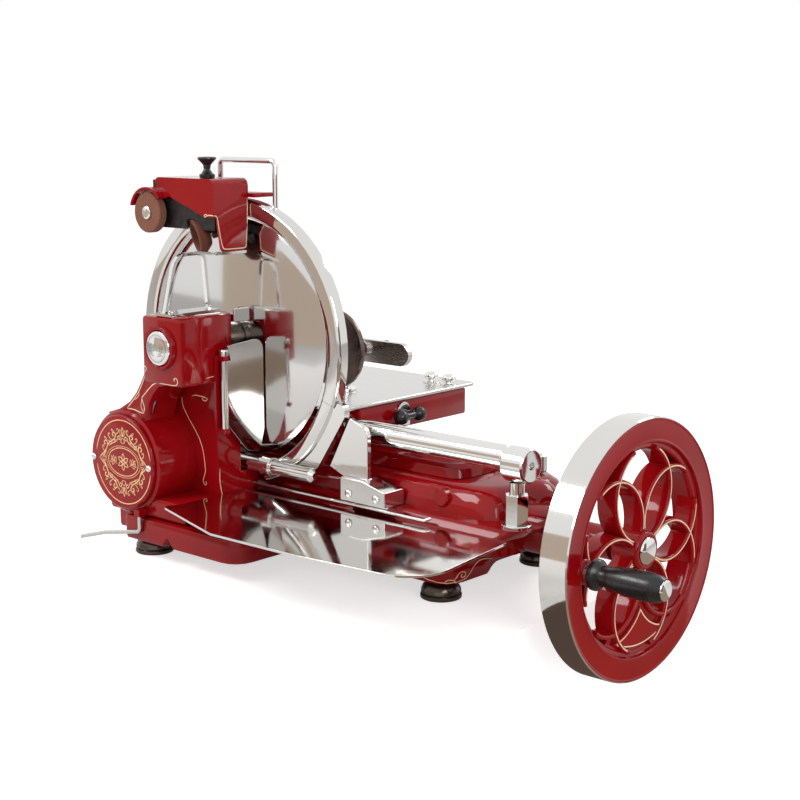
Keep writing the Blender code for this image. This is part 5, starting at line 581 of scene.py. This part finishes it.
castingParts.append(turnedSurface(np.array(bossProfile) * mm, bossCentre, "X", 48))

# The fan: between two ribs lies a web, raised 3 mm inside two arcs that keep a set distance from the ribs
reach = np.linspace(12.0 * mm, 100.4 * mm, 120)[:, None]
halfAngle = np.minimum(math.radians(30.0) - ribOffset(reach, ribRadius), math.radians(34.0))
angle = math.radians(wheel["fan"]) + np.linspace(-1.0, 1.0, 121)[None, :] * halfAngle
inside = wheel["fanLow"] - reach + 0.0 * angle
for petal, side in ((240.0, 1.0), (300.0, -1.0)):
    centreAngle = math.radians(petal) + side * math.atan2(ribCentre[1], ribCentre[0])
    apart = np.sqrt(
        reach ** 2 + ribCentreReach ** 2 - 2.0 * reach * ribCentreReach * np.cos(angle - centreAngle)
    )
    inside = np.minimum(inside, apart - ribRadius - wheel["fanInset"])
rise = np.clip(inside / (1.6 * mm), 0.0, 1.0)
rise = rise * rise * (3.0 - 2.0 * rise)
dish = -0.8 * mm * np.clip(1.0 - inside / (-5.0 * mm), 0.0, 1.0) * (inside < 0.0)
fanHeight = wheel["webFront"] + dish + (wheel["fanFront"] - wheel["webFront"]) * rise
castingParts.append(
    closedSheet(onWheel(reach, angle, fanHeight), onWheel(reach, angle, wheel["ribBack"]))
)
makePiece("flywheel_casting", castingParts, "stovedEnamelRed", "flywheel_set", ("flywheel",), 38.0)

tyreProfile = np.array(
    [(130.3, -30.9), (130.5, -31.0), (131.0, -30.4), (131.0, -1.2), (129.9, -0.02), (129.6, -0.02),
     (129.5, -0.6),
     (129.5, -2.0), (130.3, -2.0)]
) * mm
makePiece(
    "flywheel_tyre",
    [turnedSurface(tyreProfile, wheelCentre, "X", 256, True)],
    "turnedTyreSteel",
    "flywheel_set",
    ("flywheel",),
    20.0,
)

lineParts = []
for petal in wheel["petals"]:
    for side in (1.0, -1.0):
        if (petal, side) in ((240.0, 1.0), (300.0, -1.0)):
            continue
        path = ribPath(petal, side, 21.5 * mm, 99.6 * mm, wheel["ribTop"])
        lineParts.append(paintLine(path, (1.0, 0.0, 0.0), wheel["lineWidth"]))
lineInset = wheel["fanInset"] + 2.3 * mm
lineLow = wheel["fanLow"] - 2.3 * mm
reach = np.linspace(20.0 * mm, lineLow, 600)
half = math.radians(30.0) - ribOffset(reach, ribRadius + lineInset)
apex = np.argmax(half > 0.0)
reach, half = reach[apex::8], half[apex::8]
fanAngle = math.radians(wheel["fan"])
foot = np.linspace(half[-1], -half[-1], 40)
fanLine = np.concatenate(
    [
        onWheel(reach, fanAngle + half, wheel["fanFront"]),
        onWheel(lineLow, fanAngle + foot[1:-1], wheel["fanFront"]),
        onWheel(reach[::-1], fanAngle - half[::-1], wheel["fanFront"]),
    ]
)
lineParts.append(paintLine(fanLine, (1.0, 0.0, 0.0), wheel["lineWidth"], closed=True))
makePiece("flywheel_lining", lineParts, "creamLiningPaint", "flywheel_set", (), 50.0)
print("flywheel made")


# Table knobs: low chrome domes with a waist, on the pads at the table's back

knobSet = {"radius": 8.6, "height": 11.5}  # millimetres
for side in ("left", "right"):
    low, high = (Vector(corner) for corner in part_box("table_knob_" + side))
    knobProfile = softProfile(
        [(0.0, 0.0), (5.2, 0.0, 0.4), (4.2, 2.6, 1.2), (8.0, 4.4, 1.4), (
            knobSet["radius"], 7.0, 1.6
        ), (6.6, 10.4, 2.6),
         (2.4, knobSet["height"], 2.0), (0.0, knobSet["height"])]
    )
    makePiece(
        "table_knob_" + side + "_turned",
        [turnedSurface(
            np.array(knobProfile) * mm, ((low.x + high.x) / 2.0, (low.y + high.y) / 2.0, low.z), "Z", 48
        )],
        "brightChrome",
        bodyOf["table_knob_" + side],
        ("table_knob_" + side,),
    )
print("table knobs made")


# Lining: hand-painted lines that lie on the castings

surfaces = {}


def laidOn(node, points):  # the nearest places on the node's surface, and their normals
    if node not in surfaces:
        mesh = nodes[node].data
        surfaces[node] = BVHTree.FromPolygons(
            [v.co for v in mesh.vertices], [p.vertices for p in mesh.polygons]
        )
    found = [surfaces[node].find_nearest(Vector(p))[:2] for p in points]
    return np.array([f[0] for f in found]), np.array([f[1] for f in found])


def liningOn(node, points, width, steps=8, closed=False, lift=0.02 * mm):
    # a smooth curve through the points, laid on the node and painted as a low half-round line with thin ends
    path, normals = laidOn(node, smoothPath(np.array(points) * mm, steps, closed))
    keep = np.concatenate([[True], np.linalg.norm(np.diff(path, axis=0), axis=1) > 0.03 * mm])
    path, normals = path[keep] + normals[keep] * lift, normals[keep]
    spread = np.ones(len(path))
    if not closed:
        place = np.linspace(0.0, 1.0, len(path))
        spread = np.clip(np.minimum(place, 1.0 - place) * len(path) / 5.0, 0.0, 1.0) * 0.65 + 0.35
    half = width / 2.0 * spread[:, None]
    across = half * np.array([-1.0, -1.0, -0.55, 0.55, 1.0, 1.0])
    height = np.broadcast_to(np.array([-0.12, 0.0, 0.09, 0.09, 0.0, -0.12]) * mm, across.shape)
    return sweptSurface(path, np.stack([across, height], axis=-1), normals, closed)


def spiral(
    centre, radius, start, turns, steps=14, shrink=0.75
):  # a flat scroll: its radius falls evenly as it turns
    a = np.radians(start) + np.linspace(0.0, turns, steps) * turn
    r = radius * (1.0 - shrink * np.linspace(0.0, 1.0, steps))
    return [(centre[0] + r[i] * math.cos(a[i]), centre[1] + r[i] * math.sin(a[i])) for i in range(steps)]


def leafLoop(base, tip, fatness, steps=10):  # a closed leaf: two bows from base to tip, fattest at two fifths
    base, tip = np.array(base, float), np.array(tip, float)
    along = tip - base
    across = np.array([-along[1], along[0]]) * fatness
    t = np.linspace(0.0, 1.0, steps)
    bow = np.sin(np.pi * t ** 0.8)[:, None] * across
    out = base + t[:, None] * along
    return [tuple(p) for p in np.concatenate([out + bow, (out - bow)[::-1][1:-1]])]


# Drive cover: a gold ring and a scrolled frame round a rosette, mirrored in four quarters

cover = {
    "x": -60.3,  # millimetres, as are all the lengths here
    "y": -121.8,
    "z": 107.8,
    "ring": 46.8,
    "lineWidth": 1.15 * mm,
    "ovalWidth": 25.5,
    "ovalHeight": 15.5,
}


def onCover(flat, mirrorX=1.0, mirrorZ=1.0):
    return [(cover["x"] + mirrorX * u, cover["y"], cover["z"] + mirrorZ * v) for u, v in flat]


coverParts = []
for start in (10.0, 190.0):  # the ring stops short of the two screws
    a = np.radians(np.linspace(start, start + 160.0, 60))
    arc = [(cover["ring"] * math.cos(t), cover["ring"] * math.sin(t)) for t in a]
    coverParts.append(liningOn("drive_cover", onCover(arc), cover["lineWidth"], 2))
for grow, width in ((1.0, 0.95), (1.14, 0.5)):
    a = np.linspace(0.0, turn, 48, endpoint=False)
    oval = [(grow * cover["ovalWidth"] * math.cos(t), grow * cover["ovalHeight"] * math.sin(t)) for t in a]
    coverParts.append(liningOn("drive_cover", onCover(oval), width * mm, 2, True))
quarter = [
    (
        1.0,
        [
            (41.0, 0.0), (36.5, 4.0), (31.5, 8.0), (28.0, 12.6), (26.5, 17.0), (28.5, 20.5), (32.0, 19.4),
            (31.6, 16.2), (29.6, 16.8)
        ]
    ),
    (0.8, [(36.5, 0.0), (32.0, 5.4), (28.6, 9.6)]),
    (
        1.0,
        [
            (27.0, 14.5), (23.0, 19.0), (18.0, 22.0), (13.5, 25.4), (12.0, 29.2), (14.6, 31.6), (17.6, 29.6),
            (16.4, 27.2), (14.8, 28.2)
        ]
    ),
    (
        0.8,
        [
            (24.5, 15.2), (19.0, 18.6), (14.0, 20.6), (9.5, 23.8), (8.0, 27.5), (5.0, 28.6), (4.0, 26.0),
            (6.0, 24.6), (7.0, 26.2)
        ]
    ),
    (0.7, [(31.5, 8.0), (34.5, 10.0), (35.5, 13.4), (33.5, 14.6), (32.6, 12.6)]),
    (0.7, [(18.0, 22.0), (22.0, 24.0), (25.0, 27.4), (23.6, 29.6), (21.6, 28.0)]),
    (0.7, [(0.0, 20.5), (3.0, 22.5), (2.0, 25.5), (0.0, 27.0)]),
    (0.7, [(12.0, 29.2), (8.4, 31.6), (6.6, 34.6), (8.6, 36.4), (10.2, 34.4)]),
]
for mirrorX in (1.0, -1.0):
    for mirrorZ in (1.0, -1.0):
        for width, flat in quarter:
            coverParts.append(
                liningOn("drive_cover", onCover(flat, mirrorX, mirrorZ), width * mm * 1.3, 7)
            )
        for base, tip, fat in (
            ((0.6, 28.5), (4.6, 36.0), 0.20), ((30.5, 1.6), (35.0, 3.4), 0.22), (
                (19.5, 17.2), (24.5, 21.6), 0.20
            ),
            (
                (10.5, 22.0), (15.0, 23.2), 0.20
            ), ((27.0, 19.5), (31.5, 24.8), 0.18), ((15.0, 31.8), (19.5, 34.4), 0.18),
        ):
            coverParts.append(
                liningOn(
                    "drive_cover", onCover(leafLoop(base, tip, fat), mirrorX, mirrorZ), 0.62 * mm, 2, True
                )
            )
for mirrorZ in (1.0, -1.0):
    coverParts.append(
        liningOn(
            "drive_cover", onCover(leafLoop((0.0, 29.0), (0.0, 39.0), 0.18), 1.0, mirrorZ), 0.8 * mm, 2, True
        )
    )
for i in range(6):  # the rosette: six petals about a ring
    a = math.radians(60.0 * i + 30.0)
    tip = (9.4 * math.cos(a), 9.4 * math.sin(a))
    petal = leafLoop((2.2 * math.cos(a), 2.2 * math.sin(a)), tip, 0.30)
    coverParts.append(liningOn("drive_cover", onCover(petal), 0.85 * mm, 2, True))
coverParts.append(
    liningOn("drive_cover", onCover(spiral((0.0, 0.0), 1.7, 0.0, 1.0, 16, 0.0)[:-1]), 0.7 * mm, 2, True)
)
for mirrorX in (1.0, -1.0):  # a sprig at each side of the rosette
    coverParts.append(
        liningOn(
            "drive_cover", onCover([(10.6, -3.6), (14.0, -1.4), (18.0, 0.4), (21.6, 0.6)], mirrorX), 0.8 * mm,
            7
        )
    )
    for base, tip in (
        ((13.4, -1.8), (12.6, 4.6)), ((16.4, -0.4), (16.6, 5.6)), ((15.2, -1.0), (19.4, -5.4)),
        ((18.4, 0.4), (20.6, 4.6)), ((18.6, 0.4), (22.0, -3.0))
    ):
        coverParts.append(
            liningOn("drive_cover", onCover(leafLoop(base, tip, 0.22), mirrorX), 0.6 * mm, 2, True)
        )
makePiece("drive_cover_ornament", coverParts, "goldLiningPaint", bodyOf["drive_cover"], (), 50.0)
print("cover ornament painted")


# Column, foot and hood lining, each list a curve of (x, y, z) in millimetres near the casting

lining = {
    "column_casting": [
        (1.1, [(
            -29.4, -112.0, 211.0
        ), (-26.6, -112.0, 214.4), (-28.4, -112.0, 217.4), (-31.4, -112.0, 215.6), (-32.2, -111.0, 210.0),
               (-33.6, -110.7, 203.6), (-37.2, -110.7, 196.6), (
                   -43.0, -110.7, 188.0
               ), (-50.0, -110.7, 180.0), (-57.6, -110.7, 172.4), (-64.4, -110.7, 166.3)]),
        (
            0.8,
            [(-43.0, -110.7, 188.0), (-43.4, -110.7, 183.4), (-47.4, -110.7, 179.4), (-52.6, -110.7, 177.0)]
        ),
        (1.1, [(
            -36.0, -110.7, 164.0
        ), (-34.6, -110.7, 170.4), (-37.0, -110.7, 176.6), (-38.2, -110.7, 181.0), (-33.0, -110.7, 186.0),
               (-26.0, -110.7, 192.4), (
                   -17.6, -110.7, 198.4
               ), (-8.0, -110.7, 201.0), (3.0, -111.5, 201.0), (14.0, -113.0, 200.4), (21.6, -113.0, 201.6),
               (24.6, -113.0, 205.6), (22.2, -113.0, 209.4), (18.6, -113.0, 208.0), (19.8, -113.0, 205.6)]),
        (
            0.8,
            [(-36.0, -110.7, 164.0), (-40.0, -110.7, 170.6), (-39.4, -110.7, 176.6), (-38.2, -110.7, 181.0)]
        ),
        (
            1.4,
            [
                (-63.6, -110.8, 165.6), (-57.4, -110.8, 166.2), (-50.0, -110.8, 165.8),
                (-42.6, -110.8, 164.4), (-36.0, -110.7, 164.0)
            ]
        ),
        (
            0.9,
            [
                (-10.2, -64.0, 179.8), (-4.0, -64.0, 181.6), (3.0, -64.0, 181.6), (9.0, -64.0, 181.4),
                (16.4, -64.0, 179.9)
            ]
        ),
        (0.9, [(16.4, -64.0, 179.9), (12.4, -64.0, 177.2), (7.4, -64.0, 178.6), (9.0, -64.0, 181.4)]),
        (0.9, [(-26.7, -64.0, 177.0), (-25.4, -64.0, 168.0), (-18.6, -64.0, 157.6), (-11.3, -64.0, 148.9),
               (-4.2, -64.0, 140.6),
               (2.0, -64.0, 131.8), (6.2, -64.0, 121.6), (8.3, -64.0, 112.2), (9.4, -64.0, 104.0),
               (9.7, -64.0, 98.2), (7.0, -64.0, 91.0),
               (5.6, -64.0, 86.0), (9.0, -64.0, 82.6), (11.2, -64.0, 84.8), (9.4, -64.0, 86.4)]),
        (
            0.9,
            [
                (30.7, -61.4, 104.0), (30.7, -61.8, 92.0), (30.7, -60.0, 79.0), (30.7, -57.5, 71.8),
                (30.7, -55.4, 66.6), (30.7, -57.6, 63.4), (30.7, -59.6, 66.0)
            ]
        ),
        (
            0.9,
            [
                (30.6, -78.4, 206.0), (30.6, -73.0, 206.6), (30.6, -67.3, 206.8), (30.6, -62.6, 204.6),
                (30.6, -64.4, 202.4)
            ]
        ),
    ],
    "base_casting": [
        (1.0, [(293.0, -26.0, 25.8), (300.0, -25.6, 24.6), (307.0, -24.2, 23.8), (314.9, -19.6, 22.6),
               (320.5, -13.7, 22.6), (324.4, -6.0, 23.4),
               (325.8, 2.0, 25.0), (326.0, 8.7, 28.6), (326.0, 14.1, 34.0), (326.0, 21.4, 38.0),
               (326.0, 30.0, 39.0), (326.0, 44.1, 36.4)]),
        (
            0.9,
            [
                (321.6, -11.4, 25.0), (324.2, -9.2, 29.4), (325.0, -5.0, 32.6), (325.8, 0.6, 31.6),
                (325.8, 1.2, 27.8), (325.4, -3.0, 26.8), (325.2, -4.4, 29.0), (325.4, -2.4, 30.2)
            ]
        ),
        (0.8, [(314.9, -19.6, 22.6), (318.0, -17.0, 25.6), (321.6, -12.0, 25.0), (322.4, -9.6, 22.8)]),
    ],
    "sharpener_hood": [
        (1.1, [(15.0, -61.0, 376.4), (19.0, -61.0, 378.6), (24.6, -61.0, 378.8), (28.0, -60.6, 378.6),
               (29.0, -57.0, 377.6), (29.0, -55.0, 372.4), (29.0, -53.4, 364.0),
               (29.0, -51.4, 354.0), (29.0, -49.2, 346.0), (29.0, -46.4, 342.6), (29.0, -40.0, 342.0),
               (29.0, -28.0, 342.0), (29.0, -18.0, 342.2), (29.0, -14.0, 344.0),
               (29.0, -12.6, 349.0), (29.0, -12.4, 362.0), (29.0, -12.4, 380.0), (29.0, -12.4, 396.0)]),
        (0.8, [(19.0, -61.0, 378.6), (15.6, -61.0, 379.6), (13.8, -61.0, 377.6), (15.0, -61.0, 376.4)]),
    ],
}
for node, curves in lining.items():
    makePiece(
        node + "_lining",
        [liningOn(node, points, width * mm, 8) for width, points in curves],
        "creamLiningPaint",
        bodyOf[node],
        (),
        50.0,
    )
print("lining painted")


# Axle cap: a ring, a laurel spray and a star, cut into the chrome and filled dark

badge = {"x": 0.0, "y": -122.0, "z": 240.0, "ring": 15.2}
badgeParts = []
a = np.linspace(0.0, turn, 64, endpoint=False)
for radius, width in ((badge["ring"], 0.5), (badge["ring"] - 1.3, 0.25)):
    circle = [(badge["x"] + radius * math.cos(t), badge["y"], badge["z"] + radius * math.sin(t)) for t in a]
    badgeParts.append(liningOn("axle_cap", circle, width * mm, 2, True))


def onBadge(flat):
    return [(badge["x"] + u, badge["y"], badge["z"] + v) for u, v in flat]


for mirror in (1.0, -1.0):
    stem = [(mirror * u, v) for u, v in ((1.5, -9.0), (6.0, -7.4), (9.2, -3.6), (10.0, 1.2), (8.6, 5.8))]
    badgeParts.append(liningOn("axle_cap", onBadge(stem), 0.4 * mm, 7))
    for base, tip in (
        ((4.6, -8.0), (6.0, -3.6)), ((7.4, -6.0), (6.6, -0.8)), ((9.2, -3.4), (6.8, 2.0)),
        ((9.9, 0.2), (6.2, 5.0)), ((6.4, -7.0), (11.0, -7.0)), ((9.0, -4.0), (12.6, -2.6)),
        ((10.0, 0.6), (12.2, 3.4))
    ):
        leaf = leafLoop((mirror * base[0], base[1]), (mirror * tip[0], tip[1]), 0.20)
        badgeParts.append(liningOn("axle_cap", onBadge(leaf), 0.35 * mm, 2, True))
star = []
for i in range(10):
    reachOut = 4.6 if i % 2 == 0 else 1.9
    star.append((reachOut * math.sin(i * turn / 10), 0.6 + reachOut * math.cos(i * turn / 10)))
for i in range(10):
    badgeParts.append(liningOn("axle_cap", onBadge([star[i], star[(i + 1) % 10]]), 0.4 * mm, 5))
makePiece("axle_cap_engraving", badgeParts, "engravingInk", bodyOf["axle_cap"], (), 50.0)
print("badge engraved")


# Stage: a pale stand under the feet, which the flywheel hangs past, and a pale floor below it

standSet = {"left": -0.9, "right": 0.42, "front": -0.9, "back": 1.2, "depth": 0.30}
brightnessSet = {"stage": 0.62, "stageInMetal": 0.10, "worldLight": 0.55}  # 1 is white


def paleStage(
    name, brightness, inMetal
):  # white to the camera and glass, dull and warm in metal, paint for light
    material = bpy.data.materials.new(name)
    material.use_nodes = True
    tree = material.node_tree
    tree.nodes.clear()
    rays = addNode(tree, "ShaderNodeLightPath")
    seen = addNode(
        tree, "ShaderNodeMath", {"operation": "MAXIMUM"}, {
            0: rays.outputs["Is Camera Ray"], 1: rays.outputs["Is Transmission Ray"]
        }
    )
    paint = addNode(tree, "ShaderNodeBsdfDiffuse", {"Color": (0.80, 0.80, 0.80, 1.0)})
    glow = addNode(tree, "ShaderNodeEmission", {"Color": (1.0, 1.0, 1.0, 1.0), "Strength": brightness})
    both = addNode(tree, "ShaderNodeAddShader", {}, {0: paint.outputs[0], 1: glow.outputs[0]})
    warm = addNode(tree, "ShaderNodeEmission", {"Color": (1.0, 0.93, 0.87, 1.0), "Strength": inMetal})
    inSteel = addNode(tree, "ShaderNodeAddShader", {}, {0: paint.outputs[0], 1: warm.outputs[0]})
    dull = addNode(
        tree, "ShaderNodeMixShader", {}, {
            0: rays.outputs["Is Glossy Ray"], 1: paint.outputs[0], 2: inSteel.outputs[0]
        }
    )
    mixed = addNode(
        tree, "ShaderNodeMixShader", {}, {0: seen.outputs[0], 1: dull.outputs[0], 2: both.outputs[0]}
    )
    addNode(tree, "ShaderNodeOutputMaterial", {}, {"Surface": mixed.outputs[0]})
    return material


stagePaint = paleStage("paleStage", brightnessSet["stage"], brightnessSet["stageInMetal"])


def stageSlab(name, low, high, material):
    corners = np.array(
        [[x, y, z] for x in (low[0], high[0]) for y in (low[1], high[1]) for z in (low[2], high[2])]
    )
    faces = [(0, 1, 3, 2), (4, 6, 7, 5), (0, 4, 5, 1), (2, 3, 7, 6), (0, 2, 6, 4), (1, 5, 7, 3)]
    mesh = bpy.data.meshes.new(name)
    mesh.from_pydata(corners.tolist(), [], faces)
    mesh.materials.append(material)
    slab = bpy.data.objects.new(name, mesh)
    bpy.context.scene.collection.objects.link(slab)
    return slab


stageSlab(
    "paleStand",
    (standSet["left"], standSet["front"], -standSet["depth"]),
    (standSet["right"], standSet["back"], -0.05 * mm),
    stagePaint,
)
stageSlab(
    "paleFloor", (-12.0, -12.0, -standSet["depth"] - 0.02), (12.0, 12.0, -standSet["depth"]), stagePaint
)

# World: white behind everything, softer for the light that it sheds

world = bpy.data.worlds.new("studio")
bpy.context.scene.world = world
world.use_nodes = True
tree = world.node_tree
tree.nodes.clear()
rays = addNode(tree, "ShaderNodeLightPath")
seen = addNode(
    tree, "ShaderNodeMath", {"operation": "MAXIMUM"},
    {0: rays.outputs["Is Camera Ray"], 1: rays.outputs["Is Transmission Ray"]}
)
seen = addNode(
    tree, "ShaderNodeMath", {"operation": "MAXIMUM"}, {0: seen.outputs[0], 1: rays.outputs["Is Glossy Ray"]}
)
white = addNode(tree, "ShaderNodeBackground", {"Color": (1.0, 1.0, 1.0, 1.0), "Strength": 1.0})
soft = addNode(
    tree, "ShaderNodeBackground", {"Color": (1.0, 0.99, 0.98, 1.0), "Strength": brightnessSet["worldLight"]}
)
mixed = addNode(
    tree, "ShaderNodeMixShader", {}, {0: seen.outputs[0], 1: soft.outputs[0], 2: white.outputs[0]}
)
addNode(tree, "ShaderNodeOutputWorld", {}, {"Surface": mixed.outputs[0]})

# Flags, seen only in reflections: dull cards that give steel and enamel the darker parts that a studio gives

flagSet = [
    (
        "frontFlag", [(-3.4, -2.6, -0.28), (0.6, -3.6, -0.28), (0.6, -3.6, 0.95), (-3.4, -2.6, 0.95)],
        "#C9B8A8"
    ),
    (
        "standFlag", [(0.425, -0.9, -0.29), (0.425, 1.1, -0.29), (0.425, 1.1, -0.01), (0.425, -0.9, -0.01)],
        "#5A4B44"
    ),
    ("lowFlag", [(0.43, -2.4, -0.29), (2.2, -2.4, -0.29), (2.2, 0.9, -0.29), (0.43, 0.9, -0.29)], "#A3907F"),
    ("rightFlag", [(2.6, -1.4, -0.2), (2.6, 0.9, -0.2), (2.6, 0.9, 0.9), (2.6, -1.4, 0.9)], "#7A6A60"),
]


def darkFlag(name, corners, hexColour):  # a flat card that shines only its own dull colour
    material = bpy.data.materials.new(name)
    material.use_nodes = True
    tree = material.node_tree
    tree.nodes.clear()
    card = addNode(tree, "ShaderNodeEmission", {"Color": linear(hexColour), "Strength": 1.0})
    addNode(tree, "ShaderNodeOutputMaterial", {}, {"Surface": card.outputs[0]})
    mesh = bpy.data.meshes.new(name)
    mesh.from_pydata(corners, [], [(0, 1, 2, 3)])
    mesh.materials.append(material)
    flag = bpy.data.objects.new(name, mesh)
    bpy.context.scene.collection.objects.link(flag)
    flag.visible_camera = flag.visible_diffuse = flag.visible_shadow = flag.visible_transmission = False


for name, corners, hexColour in flagSet:
    darkFlag(name, corners, hexColour)

# Softboxes: one large above and left, one fill from the right, one rim light behind

softboxes = [
    ("keySoftbox", (-0.9, -1.5, 1.7), (0.15, 0.0, 0.15), 1.1, 26.0),
    ("fillSoftbox", (2.3, -0.9, 1.1), (0.2, 0.0, 0.1), 1.2, 16.0),
    ("rimSoftbox", (0.6, 1.9, 1.6), (0.15, 0.0, 0.15), 1.0, 14.0),
]
for name, place, target, size, power in softboxes:
    lamp = bpy.data.lights.new(name, "AREA")
    lamp.shape = "RECTANGLE"
    lamp.size, lamp.size_y, lamp.energy = size, size * 0.7, power
    lampObject = bpy.data.objects.new(name, lamp)
    bpy.context.scene.collection.objects.link(lampObject)
    lampObject.location = place
    aim = Vector(target) - Vector(place)
    lampObject.rotation_mode = "QUATERNION"
    lampObject.rotation_quaternion = aim.to_track_quat("-Z", "Y")
bpy.context.scene.view_settings.view_transform = "Standard"

print("stage and lights ready")
